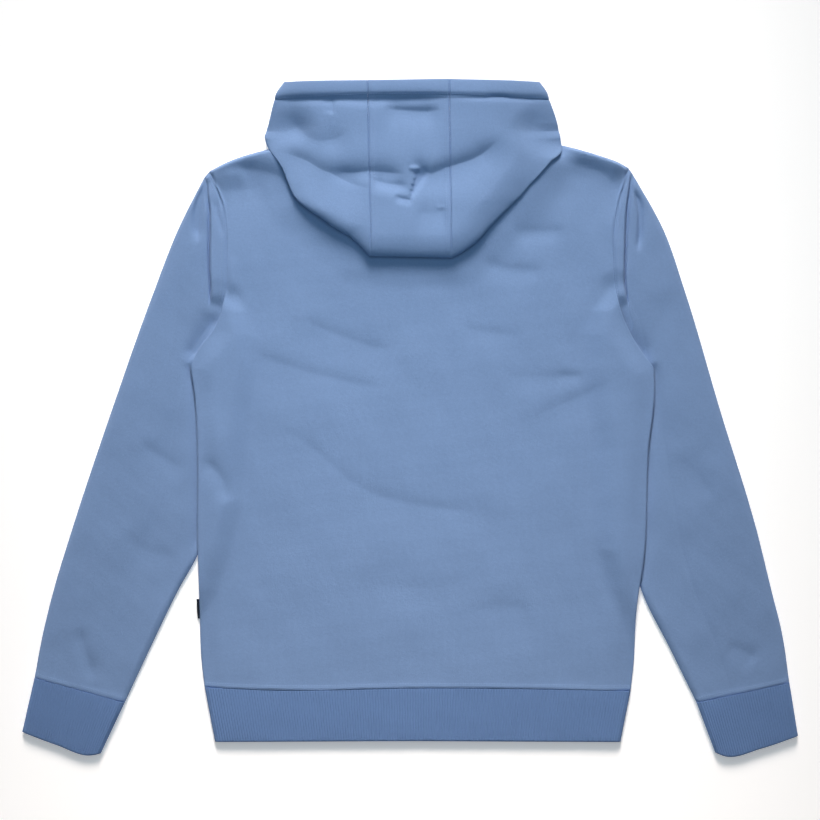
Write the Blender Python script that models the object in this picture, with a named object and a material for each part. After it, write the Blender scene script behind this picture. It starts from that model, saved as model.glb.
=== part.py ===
"""A hooded sweatshirt laid flat on its front, with the hood turned down over its back.

The origin lies on the surface under the front panel, near the middle of the garment. +X points to
the wearer's right, +Y to the hood and +Z up, away from the surface. Sizes are in millimetres, and
closed_body turns them into Blender's metres.

Each piece of cloth is a wall: a grid of points on its outer face, a matching grid on its inner
face, and a rim that joins them along every open edge.
"""

from collections import namedtuple

import bmesh
import bpy
import numpy as np

MM = 0.001
TINY = 1e-6
SHARP_FROM = 40  # degrees; a sharper bend between two faces is shaded as an edge

# Cloth, in layers
CLOTH = 2.2  # brushed fleece, one layer
RIB = 3.0  # rib knit, doubled
SEAM = 0.3  # the gap that sewn pieces keep
LOFT = 2.0  # air between the front and the back of the body
EDGE_ROLL = 22  # how far in from a sewn edge the back panel reaches its full loft

# Flat sleeves
SLEEVE_HEIGHT = 6.0
SLEEVE_PUFF = 1.2
PUFF_END = 0.6  # the share of a sleeve's width that stands up, from its outer edge
SLEEVE_POWER = 1.8  # how late the inner edge of a sleeve runs down, as its rings fan out
SLEEVE_TURN = 0.55  # the share of a sleeve over which its rings lose the armhole's curve
PLEAT_RISE = 2.6  # how far the folded cloth at the sleeve head lifts the armhole seam
PLEAT_BULK = 0.5  # how much higher than the seam that fold stands
PLEAT_STEP = 1.0  # from the top of that fold to its foot, across
PLEAT_FLOOR = 3.9  # the folded layers are one thick wall down to this height
LIFT = 6.4  # the height of the body's side where it lies on a sleeve
LIFT_FLAT = 10  # how far past the sleeve's edge the body keeps that height
LIFT_SLOPE = 32  # and how far from there it takes to come down
HEAD_FALLS_FROM = 0.5  # the share of the armhole where the sleeve head starts to come down
HEAD_HIDES_AT = 0.74  # where it starts to slip under the body
HEAD_HIDDEN_AT = 0.86  # and where it lies below

# Bands
BAND_HEIGHT = 6.8
BAND_EDGE_HEIGHT = 6.2
BAND_ROWS = np.array([0, 0.06, 0.5, 0.92, 1])  # shares of a band's width
BAND_FALLS_FROM = 0.9

# Hood
NECK_RISE = 2.0  # the seam's own bulk along the neck
HOOD_REST = 0.8  # between the hood's lower layer and the back panel
FLOOR_REST = 0.1
CROWN = 20.5  # the middle of the hood's upper layer, above the surface
CROWN_EDGE = 14.0  # the same at the face opening
CROWN_SIDE_DROP = 4.0
FOLD_REACH = 6.5  # how far the turned fold round the hood stands out, before its layers lie flat
CASING = 4.6  # the face opening's casing, cord channel included
CASING_UNDER = 3.0  # the same where it is pressed flat below

# Face counts
EDGE_STEPS = (3, 9, 20)  # the first columns in from a side edge
SHOULDER_COLUMNS = 5
BACK_NECK_COLUMNS = 9
FRONT_NECK_COLUMNS = 8
SIDE_ROWS = 14
ARMHOLE_ROWS = 12
SLEEVE_RINGS = 17
HEM_COLUMNS = 19
UPPER_COLUMNS = 7  # of a hood side panel
FOLD_COLUMNS = 6
UNDER_COLUMNS = 6
CENTRE_COLUMNS = 5

Side = namedtuple(
    "Side",
    "out shoulder seam_side armhole strip outer_edge inner_edge cuff_end body_on_sleeve hidden_head",
)

# The outlines of both sides, seen from above. out is -1 or 1, the way out from the body.
# shoulder runs from the sleeve to the neck, seam_side and armhole run up from the hem, and the
# sleeve's edges and cuff run down from the shoulder. strip is the width of the sleeve head's pleat
# at even steps from the shoulder to the underarm. body_on_sleeve is the sleeve's hidden inner edge,
# and where the body comes down again past its ends.
LEFT = Side(
    out=-1,
    shoulder=[(-230.6, 285), (-210, 295.6), (-191.5, 302.5), (-167, 309.4), (-105, 327)],
    seam_side=[(-236, -309), (-239, -285), (-242, -197), (-244, -120), (-243.6, -44), (-247, 28),
               (-252, 59)],
    armhole=[(-252, 59), (-241, 82), (-224, 104.7), (-213, 137), (-210, 189), (-215, 250), (-230.6, 285)],
    strip=[9, 15, 19, 20, 20, 17, 11, 6, 4],
    outer_edge=[(-230.6, 285), (-244, 269), (-267, 217), (-294, 148), (-343, 10), (-389, -128),
                (-410, -197), (-422.6, -248), (-432, -298)],
    inner_edge=[(-217, 56), (-221, 15), (-225, -36), (-228, -93), (-243, -154), (-266.2, -196.7),
                (-299.6, -265.7), (-328, -326.6)],
    cuff_end=[(-446, -360), (-406, -375), (-367, -387), (-355.5, -385)],
    body_on_sleeve=[(-335, -340), (-300, -266), (-259, -197), (-243, -154), (-227, -93), (-225, -36),
                    (-219, 15), (-212, 60), (-214, 97), (-223, 124), (-245, 150), (-262, 180),
                    (-300, 300)],
    hidden_head=[(-220, 112), (-217, 58)],
)
RIGHT = Side(
    out=1,
    shoulder=[(252.4, 288.7), (240, 295.6), (221, 302.5), (198, 309.4), (115.6, 327)],
    seam_side=[(254.7, -313), (258, -285), (261.6, -214), (269, -164.5), (275, -32), (281.5, 28),
               (281, 58)],
    armhole=[(281, 58), (262, 84), (248, 110), (237, 148), (234, 195), (240, 250), (252.4, 288.7)],
    strip=[7, 10, 13, 14, 13, 11, 9, 6, 4],
    outer_edge=[(252.4, 288.7), (267, 269), (293, 217), (317, 148), (358, 10), (400, -128),
                (417, -197), (429.5, -248), (437.6, -303.6)],
    inner_edge=[(243, 56), (247, 15), (250, -36), (250, -93), (254, -150), (267, -197),
                (300.7, -265.7), (330.6, -326.6)],
    cuff_end=[(447.4, -364.6), (405, -379), (363, -388), (352, -384)],
    body_on_sleeve=[(335, -340), (300, -266), (267, -197), (253, -150), (249, -93), (251, -36),
                    (245, 15), (238, 60), (239, 97), (247, 124), (268, 150), (285, 180), (320, 300)],
    hidden_head=[(245, 116), (243, 58)],
)
SIDES = {"left": LEFT, "right": RIGHT}

HEM_SEAM = [(-236, -309), (-145, -312.5), (0, -310), (150, -311), (254.7, -313)]
HEM_EDGE = [(-224, -371.5), (-120, -371), (0, -370.5), (130, -371), (243, -371.5)]
BACK_NECK = [(-105, 327), (-92, 308), (-62, 298), (5, 293), (72, 298), (102, 309), (115.6, 327)]
FRONT_NECK = [(-105, 327), (-96, 290), (-76, 252), (-40, 221), (5, 209), (50, 221), (86, 252),
              (106, 290), (115.6, 327)]

# The largest folds of the back: a soft ridge or trough from start to end, whose middle stands
# bow to the left of the straight line.
Crease = namedtuple("Crease", "start end bow width depth")
BACK_CREASES = [
    Crease((-150, 124), (-12, 72), 4, 15, 1.1),
    Crease((-205, 82), (-18, 32), -6, 17, -1.0),
    Crease((-192, 12), (-45, -78), 6, 20, 1.2),
    Crease((-60, -84), (128, -112), -4, 22, 1.1),
    Crease((50, 110), (140, 92), 3, 14, 0.9),
    Crease((96, 50), (200, 50), -5, 16, -0.9),
    Crease((120, -6), (240, 50), -8, 17, 1.1),
    Crease((105, 218), (190, 216), 3, 13, 0.8),
    Crease((72, 184), (160, 170), 3, 15, -0.8),
    Crease((-236, -44), (-198, -104), 8, 13, 1.0),
]
HOOD_CREASES = [
    Crease((-118, 300), (-18, 288), -10, 11, -3.0),
    Crease((-8, 292), (28, 262), 6, 9, -2.8),
    Crease((14, 286), (112, 332), -7, 12, -3.0),
    Crease((-130, 338), (-74, 322), 8, 12, -2.4),
    Crease((-34, 364), (34, 364), 0, 9, -1.8),
    Crease((-16, 312), (24, 300), 5, 12, 2.4),
    Crease((24, 262), (42, 232), 3, 9, -2.0),
    Crease((-146, 376), (110, 379), 0, 7, -1.4),
]

# The hood's side panels, a row for each section from the face opening to the pouch's foot. A section
# starts on the seam with the centre panel at seam_y, runs out to the turned fold, and comes back
# below through the gate to its end, on the neck seam or on the lower centre seam. thick is 1 in the
# casing and 0 in a single layer, and on_back is 1 where the lower layer lies on the back panel and 0
# where it lies on the surface.
Section = namedtuple("Section", "seam_y fold gate end thick on_back")
LEFT_SECTIONS = [
    Section(387.5, (-148, 382), (-46, 338), (3.5, 214), 0.8, 0),
    Section(376, (-151.5, 372), (-59, 337), (-8, 215), 1, 0),
    Section(370, (-153.5, 366), (-66, 336.5), (-16, 217), 0, 0),
    Section(352, (-157.5, 352), (-79, 335.5), (-45, 230), 0, 0),
    Section(336, (-161, 338), (-89, 334), (-74, 258), 0, 0),
    Section(325, (-163.5, 330), (-100, 333), (-101.5, 324), 0, 0.1),
    Section(314, (-165, 322), (-105, 331), (-99.5, 328), 0, 1),
    Section(300, (-160, 308.5), (-128, 311), (-101, 315), 0, 1),
    Section(286, (-151, 297), (-119, 301), (-88, 304), 0, 1),
    Section(273, (-143.5, 284.5), (-105, 291), (-66, 297), 0, 1),
    Section(262, (-137.5, 269), (-90, 280), (-41.5, 292), 0, 1),
    Section(252, (-129.5, 253), (-86, 264), (-41.5, 278), 0, 1),
    Section(244, (-116, 241), (-79, 252), (-41.5, 266), 0, 1),
    Section(237, (-101, 231), (-71, 241), (-41.5, 254), 0, 1),
    Section(231, (-86, 220), (-63, 230), (-41.5, 244), 0, 1),
    Section(226, (-71, 209), (-56, 219), (-41.5, 235), 0, 1),
    Section(221, (-56, 200.5), (-49, 210), (-41.5, 227), 0, 1),
    Section(217, (-41.5, 195), (-41.5, 210), (-41.5, 219), 0, 1),
]
RIGHT_SECTIONS = [
    Section(387.5, (156, 382), (57, 338), (6.5, 214), 0.8, 0),
    Section(376, (159.5, 371), (70, 337), (18, 215), 1, 0),
    Section(370, (161, 366), (77, 336.5), (26, 217), 0, 0),
    Section(352, (165.5, 352), (90, 335.5), (55, 230), 0, 0),
    Section(336, (170.5, 340), (100, 334), (84, 258), 0, 0),
    Section(325, (173.5, 331), (110.6, 333), (112.1, 324), 0, 0.1),
    Section(314, (175, 322.5), (115.6, 331), (110.1, 328), 0, 1),
    Section(300, (173, 307), (138, 311), (111.6, 315), 0, 1),
    Section(286, (162, 296), (129, 301), (98, 304), 0, 1),
    Section(273, (151, 283), (115, 291), (76, 297), 0, 1),
    Section(262, (139, 270), (96, 280), (49, 292), 0, 1),
    Section(252, (128, 257), (91, 266), (49, 278), 0, 1),
    Section(244, (116, 244.5), (84, 254), (49, 266), 0, 1),
    Section(237, (103, 232), (77, 242), (49, 254), 0, 1),
    Section(231, (90, 219), (70, 230), (49, 244), 0, 1),
    Section(226, (77, 207), (63, 218), (49, 235), 0, 1),
    Section(221, (63, 198.5), (56, 209), (49, 227), 0, 1),
    Section(217, (49, 193.5), (49, 209), (49, 219), 0, 1),
]
FIRST_LOWER_SEAM_ROW = 10  # from here on a section ends on the lower centre seam
CENTRE_TOP = {"left": -47.7, "right": 43}  # the centre panel's edges at the face opening
CENTRE_FOOT = {"left": -41.5, "right": 49}  # and from the pouch's foot to the neck
CENTRE_TOP_Y = 387.5
CENTRE_FOOT_Y = 217

# Side tab
TAB_LOW_Y = -230
TAB_HIGH_Y = -207
TAB_REACH = 3.2
TAB_THICK = 1.2
TAB_ROWS = 2

BODY_BLUE = (0.195, 0.296, 0.502)
RIB_BLUE = (0.122, 0.214, 0.402)
TAB_DARK = (0.016, 0.022, 0.034)
FLEECE_ROUGHNESS = 0.95
TAPE_ROUGHNESS = 0.6


# ---------------------------------------------------------------- curves and heights


def soft_step(value, start, end):
    """0 at start and 1 at end, with a smooth rise between them; start may be past end."""
    share = np.clip((value - start) / (end - start), 0, 1)
    return share * share * (3 - 2 * share)


def blend(first, second, share):
    """A value that goes from first to second as share goes from 0 to 1."""
    return first + (second - first) * share


def unit(vectors):
    """The same directions, with length 1."""
    return vectors / np.linalg.norm(vectors, axis=-1, keepdims=True)


def along(knots, shares):
    """Points on the smooth curve through the knots, at shares of its length."""
    knots = np.asarray(knots, float)
    runs = np.linalg.norm(np.diff(knots, axis=0), axis=1)
    place = np.concatenate([[0], np.cumsum(runs)])
    slope = np.gradient(knots, place, axis=0)
    at = np.asarray(shares, float) * place[-1]
    first = np.clip(np.searchsorted(place, at, side="right") - 1, 0, len(runs) - 1)
    span = runs[first][:, None]
    t = (at - place[first])[:, None] / span
    start = (2 * t**3 - 3 * t**2 + 1) * knots[first] + (t**3 - 2 * t**2 + t) * span * slope[first]
    end = (3 * t**2 - 2 * t**3) * knots[first + 1] + (t**3 - t**2) * span * slope[first + 1]
    return start + end


def close_at_ends(count):
    """Shares from 0 to 1 that crowd towards both ends."""
    return (1 - np.cos(np.pi * np.arange(count + 1) / count)) / 2


def nearest(points, knots):
    """The nearest place, in plan, on the line of straight runs through the knots."""
    best = np.full(points.shape, np.inf)
    knots = np.asarray(knots, float)
    for start, end in zip(knots[:-1], knots[1:]):
        run = end - start
        share = np.clip((points - start) @ run / (run @ run), 0, 1)
        place = start + share[..., None] * run
        closer = np.linalg.norm(points - place, axis=-1) < np.linalg.norm(points - best, axis=-1)
        best = np.where(closer[..., None], place, best)
    return best


def distance(points, knots):
    """How far each point is, in plan, from that line."""
    return np.linalg.norm(points - nearest(points, knots), axis=-1)


def crease_height(points, creases):
    """How far the creases raise each point, below 0 in a trough."""
    height = np.zeros(points.shape[:-1])
    for crease in creases:
        start = np.array(crease.start, float)
        run = np.array(crease.end) - start
        length = np.linalg.norm(run)
        ahead = np.clip((points - start) @ run / length**2, 0, 1)
        aside = (points - start) @ np.array([-run[1], run[0]]) / length
        aside = aside - 4 * crease.bow * ahead * (1 - ahead)
        height += crease.depth * np.sin(np.pi * ahead) * np.exp(-((aside / crease.width) ** 2))
    return height


def front_low(points):
    """The front panel's underside: the surface, or a sleeve's top where one lies below."""
    x, y = points[..., 0], points[..., 1]
    height = np.zeros(points.shape[:-1])
    for side in SIDES.values():
        edge_x, edge_y = np.transpose(side.body_on_sleeve)
        past_edge = side.out * (np.interp(y, edge_y, edge_x) - x)
        height += LIFT * soft_step(past_edge, LIFT_FLAT + LIFT_SLOPE, LIFT_FLAT)
    return height


def back_low(points):
    """The back panel's underside, above the front panel."""
    y = points[..., 1]
    from_sewn = np.full(points.shape[:-1], np.inf)
    pleat = np.zeros(points.shape[:-1])
    for side in SIDES.values():
        from_sewn = np.minimum(from_sewn, distance(points, side.shoulder))
        from_sewn = np.minimum(from_sewn, distance(points, side.seam_side))
        near_armhole = soft_step(distance(points, side.armhole), 34, 3)
        pleat += PLEAT_RISE * near_armhole * soft_step(y, 85, 140) * soft_step(y, 292, 250)
    loft = blend(SEAM, LOFT, soft_step(from_sewn, 0, EDGE_ROLL))
    neck = NECK_RISE * soft_step(distance(points, BACK_NECK), 45, 5)
    folds = crease_height(points, BACK_CREASES) * soft_step(from_sewn, 0, EDGE_ROLL)
    return front_low(points) + CLOTH + loft + pleat + neck + folds


def crown(points):
    """The middle of the hood's upper layer."""
    x, y = points[..., 0], points[..., 1]
    height = blend(CROWN, CROWN_EDGE, soft_step(y, 320, 390))
    height = height - CROWN_SIDE_DROP * soft_step(np.abs(x), 70, 165) * soft_step(y, 290, 360)
    return height + crease_height(points, HOOD_CREASES)


# ---------------------------------------------------------------- solids


def material(name, colour, roughness):
    """A plain Principled material."""
    new = bpy.data.materials.new(name)
    new.use_nodes = True
    shader = new.node_tree.nodes["Principled BSDF"]
    shader.inputs["Base Color"].default_value = (*colour, 1)
    shader.inputs["Roughness"].default_value = roughness
    shader.inputs["Metallic"].default_value = 0
    return new


def closed_body(name, outer, inner, finish, ring=False):
    """One object from two matching grids of points. With ring, the last column meets the first."""
    rows, columns = outer.shape[:2]
    bm = bmesh.new()
    faces = []
    for grid in (outer, inner):
        faces.append([[bm.verts.new(point * MM) for point in row] for row in grid])
    around = columns if ring else columns - 1
    for i in range(rows - 1):
        for j in range(around):
            k = (j + 1) % columns
            for grid in faces:
                bm.faces.new((grid[i][j], grid[i][k], grid[i + 1][k], grid[i + 1][j]))
    for i in (0, rows - 1):
        for j in range(around):
            k = (j + 1) % columns
            bm.faces.new((faces[0][i][j], faces[0][i][k], faces[1][i][k], faces[1][i][j]))
    if not ring:
        for j in (0, columns - 1):
            for i in range(rows - 1):
                bm.faces.new((faces[0][i][j], faces[0][i + 1][j], faces[1][i + 1][j], faces[1][i][j]))
    bmesh.ops.recalc_face_normals(bm, faces=bm.faces)
    mesh = bpy.data.meshes.new(name)
    bm.to_mesh(mesh)
    bm.free()
    mesh.shade_smooth()
    mesh.set_sharp_from_angle(angle=np.radians(SHARP_FROM))
    mesh.materials.append(finish)
    new = bpy.data.objects.new(name, mesh)
    bpy.context.collection.objects.link(new)
    return new


def offset_wall(middle, thick):
    """Outer and inner grids, half of thick to each side of a grid of middle points."""
    facing = np.cross(middle[1:, 1:] - middle[:-1, :-1], middle[1:, :-1] - middle[:-1, 1:])
    facing /= np.maximum(np.linalg.norm(facing, axis=2, keepdims=True), TINY)
    normal = np.zeros(middle.shape)
    for rows in (slice(1, None), slice(None, -1)):
        for columns in (slice(1, None), slice(None, -1)):
            normal[rows, columns] += facing
    shift = unit(normal) * thick[..., None] / 2
    return middle + shift, middle - shift


def flat_tube(name, plan, top, inner_top, wall, finish):
    """A flattened tube on the surface. plan holds its rings' points, from one fold to the other."""
    tube = []
    for inset, high, low in ((0, top, np.zeros(top.shape)), (wall, inner_top, np.full(top.shape, wall))):
        across = plan[:, -1] - plan[:, 0]
        way = unit(across)[:, None, :]
        ends = np.zeros(plan.shape[1])
        ends[0], ends[-1] = 1, -1
        shifted = plan + way * (ends * inset)[None, :, None]
        middle = (high + low) / 2
        upper = np.where(ends[None, :] == 0, high, middle)
        loop_top = np.dstack([shifted, upper])
        loop_low = np.dstack([shifted, low])[:, -2:0:-1]
        tube.append(np.concatenate([loop_top, loop_low], axis=1))
    return closed_body(name, tube[0], tube[1], finish, ring=True)


# ---------------------------------------------------------------- body


def shoulder_shares(shoulder):
    """Column places along a shoulder, closer together towards the sleeve."""
    first = np.concatenate([[0], np.array(EDGE_STEPS) / length(shoulder)])
    return np.concatenate([first, np.linspace(first[-1], 1, SHOULDER_COLUMNS + 1)[1:]])


def length(knots):
    """The length of the straight runs through the knots."""
    return np.linalg.norm(np.diff(np.asarray(knots, float), axis=0), axis=1).sum()


def body_plan(neck_line, neck_columns):
    """A body panel's grid in plan: rows run up from the hem, and columns across from the left."""
    left_top = along(LEFT.shoulder, shoulder_shares(LEFT.shoulder))
    right_top = along(RIGHT.shoulder, shoulder_shares(RIGHT.shoulder))[::-1]
    neck = along(neck_line, np.linspace(0, 1, neck_columns + 1))
    top = np.concatenate([left_top, neck[1:], right_top[1:]])
    across = (top[:, 0] - top[0, 0]) / (top[-1, 0] - top[0, 0])
    bottom = along(HEM_SEAM, across) + [0, SEAM]
    borders = []
    for side in (LEFT, RIGHT):
        up_side = along(side.seam_side, np.linspace(0, 1, SIDE_ROWS + 1))
        up_armhole = along(side.armhole, close_at_ends(ARMHOLE_ROWS))
        borders.append(np.concatenate([up_side, up_armhole[1:]]))
    for border in borders:
        border[0, 1] += SEAM
    first, last = borders
    up = (first[:, 1] - first[0, 1]) / (first[-1, 1] - first[0, 1])
    across = across[None, :, None]
    up = up[:, None, None]
    sides = blend(first[:, None], last[:, None], across)
    ends = blend(bottom[None], top[None], up)
    corners = blend(blend(bottom[0], bottom[-1], across), blend(top[0], top[-1], across), up)
    return sides + ends - corners


def flat_panel(name, plan, low, finish):
    """A wall of one layer over a plan."""
    return closed_body(name, np.dstack([plan, low + CLOTH]), np.dstack([plan, low]), finish)


def back_panel(finish):
    plan = body_plan(BACK_NECK, BACK_NECK_COLUMNS)
    return flat_panel("back_panel", plan, back_low(plan), finish)


def front_panel(finish):
    plan = body_plan(FRONT_NECK, FRONT_NECK_COLUMNS)
    return flat_panel("front_panel", plan, front_low(plan), finish)


# ---------------------------------------------------------------- sleeves, cuffs and hem


def sleeve_head(side):
    """Three rings in plan: the armhole seam, and the top and the foot of the pleat beside it."""
    shares = close_at_ends(ARMHOLE_ROWS)
    hole = along(side.armhole[::-1], shares)
    run = unit(np.gradient(hole, axis=0))
    out = np.stack([run[:, 1], -run[:, 0]], axis=1) * -side.out
    under = np.clip((shares - HEAD_HIDES_AT) / (1 - HEAD_HIDES_AT), 0, 1)[:, None]
    hidden = blend(np.array(side.hidden_head[0]), np.array(side.hidden_head[1]), under)
    seam = blend(hole + out * SEAM, hidden, soft_step(shares, HEAD_HIDES_AT, HEAD_HIDDEN_AT)[:, None])
    shoulder_run = unit(np.subtract(side.outer_edge[1], side.outer_edge[0]))
    way = unit(blend(shoulder_run, out, soft_step(shares, 0, 0.15)[:, None]))
    strip = np.interp(shares, np.linspace(0, 1, len(side.strip)), side.strip)
    top = seam + way * strip[:, None]
    foot = top + way * PLEAT_STEP
    return shares, seam, top, foot


def sleeve(name, side, finish):
    """A sleeve, from the armhole seam over the pleat and down to the cuff seam."""
    shares, seam, pleat_top, pleat_foot = sleeve_head(side)
    outer_edge = [tuple(pleat_foot[0])] + side.outer_edge[2:]
    inner_edge = [tuple(pleat_foot[-1])] + side.inner_edge[1:]
    down = np.linspace(0, 1, SLEEVE_RINGS + 1)
    outside = along(outer_edge, down)[:, None]
    inside = along(inner_edge, down**SLEEVE_POWER)[:, None]
    straight = blend(outside, inside, shares[None, :, None])
    bow = pleat_foot - straight[0]
    rings = straight + bow[None] * (1 - soft_step(down, 0, SLEEVE_TURN))[:, None, None]
    plan = np.concatenate([seam[None], pleat_top[None], rings])

    under_body = soft_step(shares, HEAD_FALLS_FROM, HEAD_HIDES_AT)
    seam_top = blend(back_low(seam) + CLOTH, SLEEVE_HEIGHT, under_body)
    pleat_height = blend(seam_top + PLEAT_BULK, SLEEVE_HEIGHT, under_body)
    puff = SLEEVE_PUFF * np.sin(np.pi * np.clip(shares / PUFF_END, 0, 1))
    sleeve_top = SLEEVE_HEIGHT + puff[None, :] * np.sin(np.pi * down)[:, None]
    top = np.concatenate([seam_top[None], pleat_height[None], sleeve_top])
    inner_top = top - CLOTH
    inner_top[1] = PLEAT_FLOOR
    inner_top[2] = PLEAT_FLOOR
    return flat_tube(name, plan, top, inner_top, CLOTH, finish)


def band_tops(columns):
    """Tops of a doubled band, lower along its folded edge."""
    fall = soft_step(BAND_ROWS, BAND_FALLS_FROM, 1)
    return blend(BAND_HEIGHT, BAND_EDGE_HEIGHT, fall)[:, None] * np.ones(columns)


def cuff(name, side, finish):
    """A doubled rib cuff, narrower at its folded end."""
    shares = close_at_ends(ARMHOLE_ROWS)
    seam = blend(np.array(side.outer_edge[-1]), np.array(side.inner_edge[-1]), shares[:, None])
    end = along(side.cuff_end, shares)
    seam = seam + unit(end.mean(axis=0) - seam.mean(axis=0)) * SEAM
    plan = blend(seam[None], end[None], BAND_ROWS[:, None, None])
    top = band_tops(len(shares))
    return flat_tube(name, plan, top, top - RIB, RIB, finish)


def hem_band(finish):
    """The doubled rib band round the body's foot."""
    edge = np.array(EDGE_STEPS) / length(HEM_SEAM)
    middle = np.linspace(edge[-1], 1 - edge[-1], HEM_COLUMNS + 1)
    shares = np.concatenate([[0], edge[:-1], middle, 1 - edge[:-1][::-1], [1]])
    plan = blend(along(HEM_SEAM, shares)[None], along(HEM_EDGE, shares)[None], BAND_ROWS[:, None, None])
    top = band_tops(len(shares))
    return flat_tube("hem_band", plan, top, top - RIB, RIB, finish)


def side_tab(finish):
    """A folded tape caught in the left side seam."""
    edge = along(LEFT.seam_side, np.linspace(0, 1, SIDE_ROWS + 1))
    rows = np.linspace(TAB_LOW_Y, TAB_HIGH_Y, TAB_ROWS + 1)
    sewn = np.column_stack([np.interp(rows, edge[:, 1], edge[:, 0]) - SEAM, rows])
    plan = np.stack([sewn - [TAB_REACH, 0], sewn], axis=1)
    low = np.repeat(front_low(sewn)[:, None] + CLOTH, 2, axis=1) - TAB_THICK / 2
    return closed_body("side_tab", np.dstack([plan, low + TAB_THICK]), np.dstack([plan, low]), finish)


# ---------------------------------------------------------------- hood


def seam_x(which, y):
    """Where the seam of the hood's centre panel lies, at a height on the garment."""
    share = np.clip((CENTRE_TOP_Y - y) / (CENTRE_TOP_Y - CENTRE_FOOT_Y), 0, 1)
    return blend(CENTRE_TOP[which], CENTRE_FOOT[which], share)


def hood_section(which, section):
    """The middle line of one section, from the centre panel's seam round the fold to its end."""
    start = np.array([seam_x(which, section.seam_y), section.seam_y])
    fold = np.array(section.fold, float)
    way = unit(fold - start)
    turn = fold - way * FOLD_REACH
    upper = blend(start, turn, np.linspace(0, 1, UPPER_COLUMNS + 1)[:, None])
    upper_height = crown(upper)
    shares = np.linspace(0, 1, UNDER_COLUMNS // 2 + 1)[:, None]
    end = np.array(section.end, float)
    if section.on_back == 0:
        neck = nearest(end, along(FRONT_NECK, np.linspace(0, 1, FRONT_NECK_COLUMNS + 1)))
        end = neck + unit(end - neck) * SEAM
    gate = np.array(section.gate, float)
    under = np.concatenate([blend(turn, gate, shares), blend(gate, end, shares)[1:]])
    on_surface = FLOOR_REST + (CLOTH + section.thick * (CASING_UNDER - CLOTH)) / 2
    on_back = back_low(under) + CLOTH + HOOD_REST + CLOTH / 2
    under_height = blend(on_surface, on_back, section.on_back)
    angle = np.linspace(np.pi / 2, -np.pi / 2, FOLD_COLUMNS + 1)[1:-1]
    round_fold = turn + way * FOLD_REACH * np.cos(angle)[:, None]
    middle = (upper_height[-1] + under_height[0]) / 2
    reach = (upper_height[-1] - under_height[0]) / 2
    plan = np.concatenate([upper, round_fold, under])
    height = np.concatenate([upper_height, middle + reach * np.sin(angle), under_height])
    below = soft_step(np.arange(len(height)), UPPER_COLUMNS, UPPER_COLUMNS + FOLD_COLUMNS)
    thick = CLOTH + section.thick * (blend(CASING, CASING_UNDER, below) - CLOTH)
    return np.column_stack([plan, height]), thick


def hood_side(which, sections):
    """The middle grid of a hood side panel, and its thickness."""
    lines = [hood_section(which, section) for section in sections]
    return np.array([line for line, _ in lines]), np.array([thick for _, thick in lines])


def border(grid):
    """A side panel's edge along the centre panel: down the top, round the foot and up to the neck."""
    return np.concatenate([grid[:-1, 0], grid[-1], grid[-2:FIRST_LOWER_SEAM_ROW - 1:-1, -1]])


def hood(finish):
    """The hood's two side panels, and the centre panel between them."""
    walls = {}
    edges = []
    for which, sections in (("left", LEFT_SECTIONS), ("right", RIGHT_SECTIONS)):
        middle, thick = hood_side(which, sections)
        outer, inner = offset_wall(middle, thick)
        if outer[:, 0, 2].mean() < inner[:, 0, 2].mean():
            outer, inner = inner, outer
        walls[which] = closed_body(f"hood_{which}_panel", outer, inner, finish)
        edges.append((border(outer), border(inner)))
    share = np.linspace(0, 1, CENTRE_COLUMNS + 1)[None, :, None]
    grids = []
    for left, right in zip(*edges):
        gap = unit(right - left) * SEAM
        grids.append(blend((left + gap)[:, None], (right - gap)[:, None], share))
    closed_body("hood_centre_panel", grids[0], grids[1], finish)


# ---------------------------------------------------------------- garment


def build():
    """Makes every piece of the garment."""
    for old in list(bpy.data.objects):
        bpy.data.objects.remove(old, do_unlink=True)
    front_panel(material("front_fleece", BODY_BLUE, FLEECE_ROUGHNESS))
    back_panel(material("back_fleece", BODY_BLUE, FLEECE_ROUGHNESS))
    for which, side in SIDES.items():
        sleeve(f"sleeve_{which}", side, material(f"sleeve_{which}_fleece", BODY_BLUE, FLEECE_ROUGHNESS))
        cuff(f"cuff_{which}", side, material(f"cuff_{which}_rib", RIB_BLUE, FLEECE_ROUGHNESS))
    hem_band(material("hem_rib", RIB_BLUE, FLEECE_ROUGHNESS))
    hood(material("hood_fleece", BODY_BLUE, FLEECE_ROUGHNESS))
    side_tab(material("tab_tape", TAB_DARK, TAPE_ROUGHNESS))


build()
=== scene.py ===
"""A hooded sweatshirt laid flat with its back up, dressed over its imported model.

Each operator makes one piece of the garment or one group of like pieces as thin closed shells of
cloth, and the last one makes the stage. Outlines and heights are in millimetres in the model's
frame: +X to the wearer's right, +Y to the hood and +Z up. Only to_mesh turns them into metres.
"""

import math
from collections import namedtuple

import bmesh
import bpy
import numpy as np
from bpy.props import FloatProperty, FloatVectorProperty, PointerProperty
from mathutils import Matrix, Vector
from mathutils.bvhtree import BVHTree


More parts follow.
